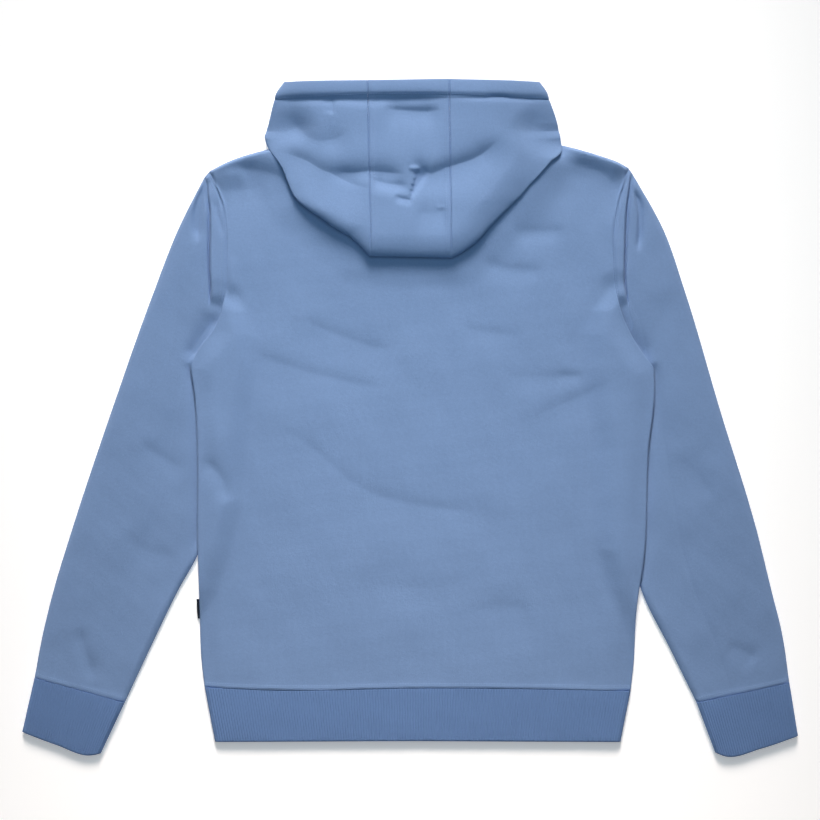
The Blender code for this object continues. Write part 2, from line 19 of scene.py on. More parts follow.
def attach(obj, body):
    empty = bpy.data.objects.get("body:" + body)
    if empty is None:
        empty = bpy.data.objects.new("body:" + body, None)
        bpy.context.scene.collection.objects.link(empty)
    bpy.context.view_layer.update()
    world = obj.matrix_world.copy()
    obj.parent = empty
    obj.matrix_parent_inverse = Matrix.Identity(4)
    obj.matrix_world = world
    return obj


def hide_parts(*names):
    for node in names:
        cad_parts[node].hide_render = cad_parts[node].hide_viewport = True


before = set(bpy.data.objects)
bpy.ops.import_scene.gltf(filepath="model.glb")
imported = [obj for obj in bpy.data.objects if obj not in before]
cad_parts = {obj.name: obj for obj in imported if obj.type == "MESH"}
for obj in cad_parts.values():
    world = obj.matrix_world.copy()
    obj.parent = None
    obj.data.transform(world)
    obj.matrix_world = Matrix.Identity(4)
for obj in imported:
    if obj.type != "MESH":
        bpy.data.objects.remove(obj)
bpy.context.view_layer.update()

bl_info = {
    "name": "Hooded sweatshirt, laid flat",
    "version": (1, 0, 0),
    "blender": (4, 5, 0),
    "location": "3D View > Sidebar > Sweatshirt",
    "description": "Makes the cloth, ribs and stitching of a sweatshirt over its packed model",
    "category": "Object",
}

MM = 0.001
TINY = 1e-6

# ---------------------------------------------------------------- outlines

SEAM = 0.05  # the gap that sewn pieces keep

Side = namedtuple(
    "Side",
    "out shoulder seam_side armhole strip outer_edge inner_edge cuff_end body_on_sleeve hidden_head",
)

# The outlines of both sides, seen from above. out is -1 or 1, the way out from the body.
# shoulder runs from the sleeve to the neck, seam_side and armhole run up from the hem, and the
# sleeve's edges and cuff run down from the shoulder. strip is the width of the sleeve head's pleat
# at even steps from the shoulder to the underarm. body_on_sleeve is the sleeve's hidden inner edge,
# and where the body comes down again past its ends.
LEFT = Side(
    out=-1,
    shoulder=[(-230.6, 285), (-210, 295.6), (-191.5, 302.5), (-167, 309.4), (-105, 327)],
    seam_side=[(-236, -309), (-239, -285), (-242, -197), (-244, -120), (-243.6, -44), (-247, 28),
               (-252, 59)],
    armhole=[(-252, 59), (-241, 82), (-224, 104.7), (-213, 137), (-210, 189), (-215, 250), (-230.6, 285)],
    strip=[9, 15, 19, 20, 20, 17, 11, 6, 4],
    outer_edge=[(-230.6, 285), (-244, 269), (-267, 217), (-294, 148), (-343, 10), (-389, -128),
                (-410, -197), (-422.6, -248), (-432, -298)],
    inner_edge=[(-217, 56), (-221, 15), (-225, -36), (-228, -93), (-243, -154), (-266.2, -196.7),
                (-299.6, -265.7), (-328, -326.6)],
    cuff_end=[(-446, -360), (-406, -375), (-367, -387), (-355.5, -385)],
    body_on_sleeve=[(-335, -340), (-300, -266), (-259, -197), (-243, -154), (-227, -93), (-225, -36),
                    (-219, 15), (-212, 60), (-214, 97), (-223, 124), (-245, 150), (-262, 180),
                    (-300, 300)],
    hidden_head=[(-220, 112), (-217, 58)],
)
RIGHT = Side(
    out=1,
    shoulder=[(252.4, 288.7), (240, 295.6), (221, 302.5), (198, 309.4), (115.6, 327)],
    seam_side=[(254.7, -313), (258, -285), (261.6, -214), (269, -164.5), (275, -32), (281.5, 28),
               (281, 58)],
    armhole=[(281, 58), (262, 84), (248, 110), (237, 148), (234, 195), (240, 250), (252.4, 288.7)],
    strip=[7, 10, 13, 14, 13, 11, 9, 6, 4],
    outer_edge=[(252.4, 288.7), (267, 269), (293, 217), (317, 148), (358, 10), (400, -128),
                (417, -197), (429.5, -248), (437.6, -303.6)],
    inner_edge=[(243, 56), (247, 15), (250, -36), (250, -93), (254, -150), (267, -197),
                (300.7, -265.7), (330.6, -326.6)],
    cuff_end=[(447.4, -364.6), (405, -379), (363, -388), (352, -384)],
    body_on_sleeve=[(335, -340), (300, -266), (267, -197), (253, -150), (249, -93), (251, -36),
                    (245, 15), (238, 60), (239, 97), (247, 124), (268, 150), (285, 180), (320, 300)],
    hidden_head=[(245, 116), (243, 58)],
)
SIDES = {"left": LEFT, "right": RIGHT}

HEM_SEAM = [(-236, -309), (-145, -312.5), (0, -310), (150, -311), (254.7, -313)]
HEM_EDGE = [(-224, -371.5), (-120, -371), (0, -370.5), (130, -371), (243, -371.5)]
BACK_NECK = [(-105, 327), (-92, 308), (-62, 298), (5, 293), (72, 298), (102, 309), (115.6, 327)]
FRONT_NECK = [(-105, 327), (-96, 290), (-76, 252), (-40, 221), (5, 209), (50, 221), (86, 252),
              (106, 290), (115.6, 327)]

# The hood's side panels, a row for each section from the face opening to the pouch's foot: the y of
# its start on the centre panel's seam, its turned fold, the gate and the end of its lower layer, and
# how much that layer lies on the back panel.
LEFT_SECTIONS = [
    (386, -142, 385, -46, 338, 3.5, 214, 0),
    (375, -150.5, 373, -59, 337, -8, 215, 0),
    (370, -153.5, 366, -66, 336.5, -16, 217, 0),
    (352, -157.5, 352, -79, 335.5, -45, 230, 0),
    (336, -161, 338, -89, 334, -74, 258, 0),
    (325, -163.5, 330, -100, 333, -101.5, 324, 0.1),
    (314, -165, 322, -105, 331, -99.5, 328, 1),
    (300, -160, 308.5, -128, 311, -101, 315, 1),
    (286, -151, 297, -119, 301, -88, 304, 1),
    (273, -143.5, 284.5, -105, 291, -66, 297, 1),
    (262, -137.5, 269, -90, 280, -44.5, 292, 1),
    (252, -129.5, 253, -86, 264, -44.5, 278, 1),
    (244, -116, 241, -79, 252, -44.5, 266, 1),
    (237, -101, 231, -71, 241, -44.5, 254, 1),
    (231, -86, 220, -63, 230, -44.5, 244, 1),
    (226, -71, 209, -56, 219, -44.5, 235, 1),
    (221, -56, 200.5, -49, 210, -44.5, 227, 1),
    (217, -44.5, 195, -44.5, 210, -44.5, 219, 1),
]
RIGHT_SECTIONS = [
    (387.5, 147.5, 385.5, 57, 338, 6.5, 214, 0),
    (375, 155.5, 374, 70, 337, 18, 215, 0),
    (370, 159, 366, 77, 336.5, 26, 217, 0),
    (352, 164.5, 352, 90, 335.5, 55, 230, 0),
    (336, 168.5, 340, 100, 334, 84, 258, 0),
    (325, 170.5, 331, 110.6, 333, 112.1, 324, 0.1),
    (314, 172.5, 322.5, 115.6, 331, 110.1, 328, 1),
    (300, 173, 307, 138, 311, 111.6, 315, 1),
    (286, 162, 296, 129, 301, 98, 304, 1),
    (273, 151, 283, 115, 291, 76, 297, 1),
    (262, 139, 270, 96, 280, 48, 292, 1),
    (252, 128, 257, 91, 266, 48, 278, 1),
    (244, 116, 244.5, 84, 254, 48, 266, 1),
    (237, 103, 232, 77, 242, 48, 254, 1),
    (231, 90, 219, 70, 230, 48, 244, 1),
    (226, 77, 207, 63, 218, 48, 235, 1),
    (221, 63, 198.5, 56, 209, 48, 227, 1),
    (217, 48, 193.5, 48, 209, 48, 219, 1),
]
ON_SURFACE_ROWS = 5  # the first rows end on the front panel's neck
FIRST_LOWER_SEAM_ROW = 10  # from here on a section ends on the lower centre seam
CASING_ROW = 2  # the row on the casing's stitching
CENTRE_TOP = {"left": -48, "right": 45.5}  # the centre panel's edges at the face opening
CENTRE_FOOT = {"left": -44.5, "right": 48}  # and from the pouch's foot to the neck
CENTRE_TOP_Y = 385
CENTRE_FOOT_Y = 217

# ---------------------------------------------------------------- sizes

TOUCH = 0.04  # between the hood panels, whose seams are closed
GRID = 2.3  # between two points of a large panel
FINE = 0.55  # the same at its edges
LINING_STEP = 4  # points of the outer face to one of the inner face
ROWS_OF_STITCHES = (1.3, 5.6)  # twin rows, from their seam
FURROW = 0.6  # half the width of the furrow under a row

LOFT = 3.4  # air between the front and the back of the body
EDGE_ROLL = 26  # how far in from a sewn edge it has its full height
LIFT = 6.4  # of the front where a sleeve lies below
LIFT_FLAT = 10  # how far past the sleeve's edge it stays up
LIFT_SLOPE = 32  # and how far on it comes down
NECK_RISE = 2.0
BAND_HEIGHT = 7.7

SLEEVE_HEIGHT = 6.2
SLEEVE_PUFF = 2.0  # more than that, in a sleeve's outer part
PUFF_END = 0.6  # the share across the sleeve where the puff ends
LEAST_SLEEVE = 3.0  # thickness, at the foot of a groove
SLEEVE_POWER = 1.8  # how much the rings crowd at the underarm
SLEEVE_TURN = 0.55  # the share of its length over which the armhole's curve fades
SLEEVE_EDGE = 9  # how far in a sleeve's folds are rounded
BODY_PRESS = 2.5  # of the sleeve beside the body's edge
PLEAT_RISE = 3.0  # of the back beside the pleat
PLEAT_STEP = 0.6  # from the pleat's edge to the sleeve
PLEAT_ROLL = 3.6  # how far in the pleat's edge is rounded
PLEAT_DROP = 6.4
PLEAT_HOLLOW = 4.4  # of the sleeve beside it
# Shares of an armhole, from the shoulder, where the sleeve's head starts to fall and lies low, and
# where it starts to go in under the body and is hidden.
HEAD_FALLS_FROM = 0.58
HEAD_FALLEN_AT = 0.68
HEAD_HIDES_AT = 0.74
HEAD_HIDDEN_AT = 0.86
HEAD_TUCKS_FROM = 0.63
HEAD_TUCK = 9.0  # how far its edge goes in under the body's edge before that

HOOD_PUSH = 6.5  # how far the hood's bulk pushes the back up all along its edge
HOOD_LINE = [(-168, 332), (-150, 300), (-128, 252), (-86, 218), (-52, 190), (52, 188), (86, 216),
             (130, 254), (160, 290), (180, 328)]
HOOD_REST = 0.8  # from the back to the hood's lower layer
FLOOR_REST = 0.1
CROWN = 26.5  # height of the hood's top
CREASE_HEIGHT = 25.7  # of the hood's top at the crease beside its casing
CASING_RISE = (3.1, 1.2)  # of the casing above it, at the left and the right
CROWN_SIDE_DROP = 9.5  # at the flanks, where they meet the shoulders
TOP_SIDE_DROP = 5  # and at the face opening
HOOD_SEAM = {"left": 1.3, "right": 1.7}  # how deep its two long seams are drawn in
UPPER_POINTS = 120  # of a hood section, from its seam to its fold
ROLL_POINTS = 24  # the last of them, which round the fold
# How a hood side panel's fold is rounded at some of its sections: how far in the roll starts, its
# fullness, the height share of its outermost line, and how far that line stands out.
LEFT_ROLL = [(0, 32, 1.2, 0.75, 0), (2, 46, 1.4, 0.72, 0), (4, 40, 1.4, 0.72, 0), (6, 19, 1.0, 0.5, 0),
             (12, 18, 1.0, 0.5, 0), (14, 20, 1.05, 0.4, 0), (15, 20, 1.1, 0.4, -3), (16, 22, 1.15, 0.3, 1),
             (17, 25, 1.2, 0.25, 8)]
RIGHT_ROLL = [(0, 36, 1.2, 0.75, 0), (2, 50, 1.4, 0.72, 0), (4, 48, 1.4, 0.72, 0), (6, 46, 1.5, 0.4, 0),
              (8, 46, 1.45, 0.05, 0), (12, 40, 1.4, 0.05, -1), (14, 30, 1.3, 0.2, 0),
              (16, 24, 1.2, 0.25, 4), (17, 25, 1.2, 0.25, 8)]
ROLL_BELOW = 7.5  # how far in the fold rounds off the lower layer
CASING = 4.6  # the casing's greatest thickness
CASING_UNDER = 0.35  # the share of its fullness on the hood's lower layer
EDGE_RADIUS = 2.6  # of a cut edge that is sewn, seen from above

# A fold follows the smooth line through its knots. It is depth high there, or deep below 0, and
# fades out over above on the left of the line and below on its right.
Fold = namedtuple("Fold", "knots depth above below")
FOLD_POWER = 1.3  # of its fall on the left side, which is steepest at the line
BACK_FOLDS = [
    # ridges and troughs that run in from the shoulders
    Fold([(-237, 275), (-223, 289), (-203, 297.7), (-184, 303), (-165.5, 307), (-147, 310),
          (-128, 312)], 8, 3.5, 13.5),
    Fold([(-229.1, 274.5), (-208.4, 280.2), (-185.5, 284.8)], 2.2, 8, 13),
    Fold([(171.7, 316), (196.5, 309), (219.8, 301.8), (238.6, 293.8), (258, 279)], 9, 3.5, 15),
    Fold([(-218, 287), (-202, 288.2), (-184, 287), (-166, 283.5), (-140, 275),
          (-120, 268)], -2.4, 9, 34),
    Fold([(-238.3, 266.5), (-224.5, 263.6), (-207, 262.4), (-182, 264.2), (-160, 268)], -2, 12, 26),
    Fold([(158, 305.5), (182.6, 294.4), (205.6, 288), (223.6, 280.8), (237.2, 269), (250, 259),
          (260, 249.5)], -2.8, 11, 44),
    # drag lines across the back
    Fold([(-131.5, 117.2), (-91.3, 99.9), (-56.8, 87.3), (-15.5, 74.7)], -1.4, 9, 34),
    Fold([(-194.7, 80.4), (-137.2, 60.9), (-79.8, 44.8), (-20.1, 33.3)], -1.4, 9, 30),
    Fold([(-183.2, 3.5), (-125.8, -24.1), (-51.1, -81.5), (46.5, -104.5),
          (124.6, -111.4)], -1.4, 10, 42),
    Fold([(53.4, 105.7), (92.5, 99.9), (133.8, 93)], -1.0, 8, 22),
    Fold([(101.6, 49.4), (149.9, 48.2), (195.8, 49.4)], -0.9, 8, 20),
    Fold([(130.3, -2.3), (190.1, 23), (250.9, 52.8)], -1.3, 9, 26),
    # short creases below the hood and at the sides
    Fold([(113.1, 218.2), (149.9, 215.9), (184.3, 218.2)], -1.4, 7, 14),
    Fold([(78.7, 181.5), (115.4, 173.4), (159.1, 171.1)], -1.4, 7, 14),
    Fold([(-240.6, -45.9), (-226.8, -54), (-215.3, -67.7), (-208.4, -98.8)], -2.0, 7, 12),
    Fold([(168.2, 52.3), (182, 50.5), (200.4, 51.7)], -1.0, 4, 10),
    Fold([(-205, 191.8), (-203.8, 165.4), (-206.1, 136.7)], 1.3, 4, 4),
    Fold([(239.5, 184.9), (232.6, 211.3), (233.7, 234.3)], 0.8, 6, 4),
    # the lower back's broad unevenness, and the pull below the hood
    Fold([(-120, 200), (-60, 168), (20, 160), (100, 176)], 1.0, 20, 24),
    Fold([(-90, -180), (20, -196), (96, -184)], -0.8, 18, 30),
    Fold([(60, -226), (106, -214), (150, -224)], -0.7, 10, 24),
]
SLEEVE_FOLDS = [
    # the pleats at the sleeves' heads, and the creases under the arms
    Fold([(-224.6, 280.4), (-233.8, 270), (-239.6, 258.5), (-243.5, 240.1), (-244.5, 222),
          (-243, 200)], -5, 4.5, 5),
    Fold([(-225.8, 257.4), (-221.2, 237.8), (-215.4, 217.2), (-213.1, 205.7)], -1.8, 3, 3),
    Fold([(256, 268), (262, 256), (265.4, 242.4), (266, 226.4), (264.8, 205.7), (262, 190)], -5, 3, 3),
    Fold([(-217, 124), (-226, 109), (-235, 94), (-247, 77), (-258, 64)], -3.4, 4, 11),
    Fold([(237, 128), (246, 109), (257, 92), (270, 75), (280, 62)], -3.4, 10, 4),
    # soft creases at the elbows and above the cuffs
    Fold([(-314.2, -26.4), (-286.7, -42.5), (-252.2, -62)], -1.2, 10, 18),
    Fold([(-380.9, -236.7), (-371.7, -270), (-362.5, -304.5)], -1.7, 8, 10),
    Fold([(362.5, -258.5), (382, -265.4), (402.7, -279.2)], -1.4, 8, 16),
    Fold([(-330, -130), (-300, -152), (-262, -160)], -1.1, 12, 24),
    Fold([(300, -40), (330, -62), (352, -96)], -1.1, 12, 24),
    Fold([(296, 150), (288, 110), (296, 60)], -0.8, 14, 14),
    Fold([(-262, 170), (-268, 110), (-282, 50)], -0.8, 14, 14),
]
HOOD_FOLDS = [
    # the long troughs that meet in the hood's middle
    Fold([(-156, 308), (-138, 303), (-124.8, 298.5), (-113.4, 293.1), (-102, 285.7), (-88.4, 280),
          (-72.4, 271.5), (-49.6, 263.5), (-33.6, 258.9)], -5.8, 11, 32),
    Fold([(-95.2, 285.1), (-67.8, 281.7), (-42.8, 282.9), (-19.9, 280.6), (0.6, 277.2)], -4.6, 9, 12),
    Fold([(-47.3, 274.9), (-29.1, 269.7), (-15.4, 267.5), (0.6, 266.9)], -3.8, 7, 10),
    Fold([(-17.7, 254.3), (-6.3, 251.5), (5.1, 249.8)], -2.4, 3.5, 6),
    Fold([(18.8, 288.6), (16.5, 278.3), (8.6, 264.6), (-1.7, 248.6)], -3, 3, 14),
    Fold([(-13.1, 287.4), (-1.7, 288), (9.7, 289.1), (16.5, 284.6), (23.4, 280), (31.4, 282.3),
          (42.8, 287.4), (57.6, 292), (71.3, 296.5), (83.8, 303.4), (96.4, 313.6),
          (107.8, 327.3)], -6.2, 9.5, 27),
    Fold([(-1.7, 286.3), (5.1, 286.8), (13.1, 286.3)], 1.6, 2.5, 4),
    # the dents around them
    Fold([(-33.6, 354.7), (-13.1, 353), (12, 351.3), (39.3, 351.8)], -4.2, 6.5, 20),
    Fold([(5.1, 236.1), (23.4, 234.4), (46.2, 238.4)], -2.2, 14, 22),
    Fold([(30.2, 241.2), (40.5, 242.4)], 0.7, 2.5, 3),
    Fold([(-147.6, 354.7), (-129.4, 336.4), (-112.3, 319.9), (-90.6, 318.2),
          (-65.6, 328.5)], -3.2, 13, 16),
    Fold([(-91.8, 368.4), (-87.2, 358.1), (-89.5, 345.6)], -1.5, 3, 9),
    # the crease along the casing
    Fold([(-168.2, 366.7), (-113.4, 365.7), (-79.2, 365.2), (-49.6, 364), (-16.5, 365.2), (27.9, 366.8),
          (59.9, 367.8)], -1.8, 4, 6),
    Fold([(41.6, 366.7), (91.8, 367.2), (171.6, 366.1)], -1.2, 2.5, 4),
    Fold([(84.9, 368.9), (100.9, 369.5), (116.9, 368.9)], -1.5, 2, 2),
    # where the hood sinks beside the shoulders
    Fold([(-210, 326), (-165, 326), (-145, 329), (-128, 334), (-104, 346)], -5, 26, 16),
    Fold([(122, 352), (138, 339), (152, 332), (174, 327), (215, 323)], -4.5, 28, 26),
]

# ---------------------------------------------------------------- stage values

# Each light's name, place, the point it faces, size, spread in degrees, colour and power.
LIGHTS = [
    ("top_softbox", (-0.08, 2.9, 2.0), (-0.02, -0.8, 0), (1.2, 1.9), 31, (1.11, 1, 0.93), 12.9),
    ("overhead_strip", (-0.02, 0.3, 0.72), (-0.02, 0.3, 0), (0.25, 0.6), 180, (0.74, 1, 1.15), 1.4),
]
WORLD_LIGHT = 0.08
WORLD_COLOUR = (0.7, 1, 1.2)
FLOOR_HALF = 4.0  # metres, as are the lights' places
FLOOR_BELOW = 0.0003
FLOOR_COLOUR = (0.9, 0.9, 0.9)
FLOOR_GLOW = 0.35
LENS = 85
SENSOR = 36
VIEW_CENTRE = (0.575, 10.35)  # the point below the camera
VIEW_WIDTH = 943  # seen at VIEW_LEVEL above the surface
VIEW_LEVEL = 7


# ---------------------------------------------------------------- curves


def soft_step(value, start, end):
    """0 at start and 1 at end, with a smooth rise between them; start may be past end."""
    share = np.clip((value - start) / (end - start), 0, 1)
    return share * share * (3 - 2 * share)


def blend(first, second, share):
    """A value that goes from first to second as share goes from 0 to 1."""
    return first + (second - first) * share


def unit(vectors):
    """The same directions, with length 1."""
    return vectors / np.maximum(np.linalg.norm(vectors, axis=-1, keepdims=True), TINY)


def through(knots, place, at):
    """Points of the smooth curve that passes each knot at its place."""
    slope = np.gradient(knots, place, axis=0)
    first = np.clip(np.searchsorted(place, at, side="right") - 1, 0, len(place) - 2)
    span = (place[first + 1] - place[first])[:, None]
    t = (at - place[first])[:, None] / span
    start = (2 * t**3 - 3 * t**2 + 1) * knots[first] + (t**3 - 2 * t**2 + t) * span * slope[first]
    end = (3 * t**2 - 2 * t**3) * knots[first + 1] + (t**3 - t**2) * span * slope[first + 1]
    return start + end


def along(knots, shares):
    """Points on the smooth curve through the knots, at shares of its length."""
    knots = np.asarray(knots, float)
    place = np.concatenate([[0], np.cumsum(np.linalg.norm(np.diff(knots, axis=0), axis=1))])
    return through(knots, place, np.asarray(shares, float) * place[-1])


def length(knots):
    """The length of the straight runs through the knots."""
    return np.linalg.norm(np.diff(np.asarray(knots, float), axis=0), axis=1).sum()


def graded(size, step, fine=FINE, by=LINING_STEP):
    """Shares from 0 to 1 of a size, closer at both ends, whose count of gaps is a multiple of by."""
    offsets = [0.0]
    gap = fine
    while gap < step:
        offsets.append(offsets[-1] + gap)
        gap *= 1.35
    middle = size - 2 * offsets[-1]
    count = math.ceil(middle / step)
    count += -(count + 2 * (len(offsets) - 1)) % by
    inside = np.linspace(offsets[-1], size - offsets[-1], count + 1)[1:-1]
    return np.concatenate([offsets, inside, size - np.array(offsets[::-1])]) / size


def nearest(points, knots):
    """The nearest place, in plan, on the line of straight runs through the knots."""
    best = np.full(points.shape, np.inf)
    knots = np.asarray(knots, float)
    for start, end in zip(knots[:-1], knots[1:]):
        run = end - start
        share = np.clip((points - start) @ run / (run @ run), 0, 1)
        place = start + share[..., None] * run
        closer = np.linalg.norm(points - place, axis=-1) < np.linalg.norm(points - best, axis=-1)
        best = np.where(closer[..., None], place, best)
    return best


def distance(points, knots):
    """How far each point is, in plan, from that line."""
    return np.linalg.norm(points - nearest(points, knots), axis=-1)


def fold_height(points, folds):
    """How far the folds raise each point of a plan, below 0 in a trough."""
    height = np.zeros(points.shape[:-1])
    for fold in folds:
        line = along(fold.knots, np.linspace(0, 1, 61))
        reach = 2.6 * max(fold.above, fold.below)
        near = ((points > line.min(axis=0) - reach) & (points < line.max(axis=0) + reach)).all(axis=-1)
        at = points[near]
        if len(at) == 0:
            continue
        place = ((at[:, None] - line[None]) ** 2).sum(axis=2).argmin(axis=1)
        run = unit(np.gradient(line, axis=0))[place]
        off = at - line[place]
        aside = run[:, 0] * off[:, 1] - run[:, 1] * off[:, 0]
        ahead = place / 60 + (off * run).sum(axis=1) / length(line)
        width = np.where(aside > 0, fold.above, fold.below)
        fade = soft_step(ahead, 0, 0.28) * soft_step(ahead, 1, 0.72)
        power = np.where(aside > 0, FOLD_POWER, 2)
        height[near] += fold.depth * fade * np.exp(-np.abs(aside / width) ** power)
    return height


def ripple(points, size, height, turn=0.0):
    """The cloth's own gentle unevenness, in waves about size long."""
    x, y = points[..., 0] / size * 2 * np.pi, points[..., 1] / size * 2 * np.pi
    waves = np.zeros(points.shape[:-1])
    for k, (angle, rate, phase) in enumerate(
        [(0.3, 0.61, 0.4), (1.1, 0.83, 2.2), (1.9, 1.0, 4.1), (2.6, 1.27, 5.3), (0.8, 1.61, 1.3)]
    ):
        angle += turn
        waves += np.sin(rate * (x * np.cos(angle) + y * np.sin(angle)) + phase + turn * k)
    return waves * height / 3


# ---------------------------------------------------------------- heights


def front_low(points):
    """The front panel's underside: the surface, or a sleeve's top where one lies below."""
    x, y = points[..., 0], points[..., 1]
    height = np.zeros(points.shape[:-1])
    for side in SIDES.values():
        edge_x, edge_y = np.transpose(side.body_on_sleeve)
        past_edge = side.out * (np.interp(y, edge_y, edge_x) - x)
        height += LIFT * soft_step(past_edge, LIFT_FLAT + LIFT_SLOPE, LIFT_FLAT)
    return height


def back_low(points):
    """The back panel's underside, above the front panel."""
    y = points[..., 1]
    from_sewn = np.full(points.shape[:-1], np.inf)
    pleat = np.zeros(points.shape[:-1])
    for side in SIDES.values():
        for sewn in (side.shoulder, side.seam_side, side.armhole[:4]):
            from_sewn = np.minimum(from_sewn, distance(points, sewn))
        near_armhole = soft_step(distance(points, side.armhole), 48, 3)
        pleat += PLEAT_RISE * near_armhole * soft_step(y, 92, 165) * soft_step(y, 300, 165)
    loft = blend(SEAM, LOFT, soft_step(from_sewn, 0, EDGE_ROLL))
    neck = NECK_RISE * soft_step(distance(points, BACK_NECK), 45, 5)
    under_hood = y > np.interp(points[..., 0], *np.transpose(HOOD_LINE))
    to_hood = np.where(under_hood, 0, distance(points, HOOD_LINE))
    pushed_up = HOOD_PUSH * soft_step(to_hood, 42, -12) * soft_step(from_sewn, 0, 20)
    return front_low(points) + cloth() + loft + pleat + neck + pushed_up


def crown(points):
    """The middle of the hood's upper layer."""
    x, y = points[..., 0], points[..., 1]
    height = blend(CROWN, CREASE_HEIGHT, soft_step(y, 290, 362))
    rise = blend(*CASING_RISE, soft_step(x, 20, 70))
    height = height + rise * (1 - np.exp(-np.clip(y - 366, 0, None) / 5))
    drop = blend(CROWN_SIDE_DROP, TOP_SIDE_DROP, soft_step(y, 330, 368))
    height = height - drop * soft_step(np.abs(x), 88, 168)
    return height + fold_height(points, HOOD_FOLDS) * creases() + ripple(points, 62, 0.35, 0.6)


def edge_distance(plan):
    """How far each point of a grid is from the grid's nearest edge, along its rows and columns."""
    found = np.full(plan.shape[:2], np.inf)
    for axis in (0, 1):
        steps = np.linalg.norm(np.diff(plan, axis=axis), axis=-1)
        start = np.zeros_like(steps.take([0], axis=axis))
        run = np.concatenate([start, np.cumsum(steps, axis=axis)], axis=axis)
        found = np.minimum(found, np.minimum(run, run.take([-1], axis=axis) - run))
    return found


def round_edge(gap, radius, drop):
    """How far a rounded edge has dropped, at a gap from it."""
    share = 1 - np.clip(gap / radius, 0, 1)
    return drop * (1 - np.sqrt(1 - share**2))


# ---------------------------------------------------------------- settings


class CutSizes(bpy.types.PropertyGroup):
    """Sizes of the cloth and the sewing."""

    cloth: FloatProperty(
        name="Cloth", description="Thickness of the brushed fleece", default=0.0022, min=0.0005, unit="LENGTH"
    )
    crease: FloatProperty(
        name="Creases", description="How deep the folds are", default=1.0, min=0, max=2, subtype="FACTOR"
    )
    rib_pitch: FloatProperty(
        name="Rib pitch", description="From one rib to the next", default=0.0031, min=0.001, unit="LENGTH"
    )
    rib_depth: FloatProperty(
        name="Rib depth", description="How far a rib stands up", default=0.00045, min=0, unit="LENGTH"
    )
    stitch: FloatProperty(
        name="Stitch", description="Length of one stitch with its gap", default=0.003, min=0.001, unit="LENGTH"
    )
    thread: FloatProperty(
        name="Thread", description="Width of the sewing thread", default=0.0006, min=0.0001, unit="LENGTH"
    )


class Dyes(bpy.types.PropertyGroup):
    """Colours of the cloth, the ribs, the thread and the tab."""

    fleece: FloatVectorProperty(
        name="Fleece", description="Colour of the body, sleeves and hood", default=(0.191, 0.300, 0.518),
        size=3, min=0, max=1, subtype="COLOR",
    )
    rib: FloatVectorProperty(
        name="Rib", description="Colour of the cuffs and the hem band", default=(0.131, 0.229, 0.445),
        size=3, min=0, max=1, subtype="COLOR",
    )
    thread: FloatVectorProperty(
        name="Thread", description="Colour of the stitching", default=(0.21, 0.31, 0.52),
        size=3, min=0, max=1, subtype="COLOR",
    )
    tape: FloatVectorProperty(
        name="Tape", description="Colour of the side tab", default=(0.012, 0.018, 0.034),
        size=3, min=0, max=1, subtype="COLOR",
    )


def sizes():
    """The sizes set in the panel."""
    return bpy.context.scene.sweatshirt_cut


def dyes():
    """The colours set in the panel."""
    return bpy.context.scene.sweatshirt_dyes


def cloth():
    """One layer's thickness, in millimetres."""
    return sizes().cloth / MM


def creases():
    """How deep the folds are, as a share of their own depth."""
    return sizes().crease


# ---------------------------------------------------------------- meshes


def grid_faces(first, rows, columns, ring):
    """Vertex numbers of a grid's faces, from the number of its first vertex."""
    across = columns if ring else columns - 1
    i, j = np.meshgrid(np.arange(rows - 1), np.arange(across), indexing="ij")
    k = (j + 1) % columns
    corners = [i * columns + j, i * columns + k, (i + 1) * columns + k, (i + 1) * columns + j]
    return (first + np.stack(corners, axis=-1).reshape(-1, 4)).tolist()


def rim(fine, coarse):
    """Faces between a fine run of vertices and a coarser one beside it."""
    by = (len(fine) - 1) // (len(coarse) - 1)
    return [
        [*fine[i * by : (i + 1) * by + 1], coarse[i + 1], coarse[i]] for i in range(len(coarse) - 1)
    ]


def cut_coordinates(grid, ring):
    """Where each point of a grid lies in the flat cut, in metres."""
    across = np.linalg.norm(np.diff(grid, axis=1), axis=2)
    up = np.linalg.norm(np.diff(grid, axis=0), axis=2)
    u = np.concatenate([np.zeros((len(grid), 1)), np.cumsum(across, axis=1)], axis=1)
    v = np.concatenate([np.zeros((1, grid.shape[1])), np.cumsum(up, axis=0)], axis=0)
    if not ring:
        u = u - u[:, -1:] / 2
    return np.stack([u, v], axis=-1).reshape(-1, 2) * MM


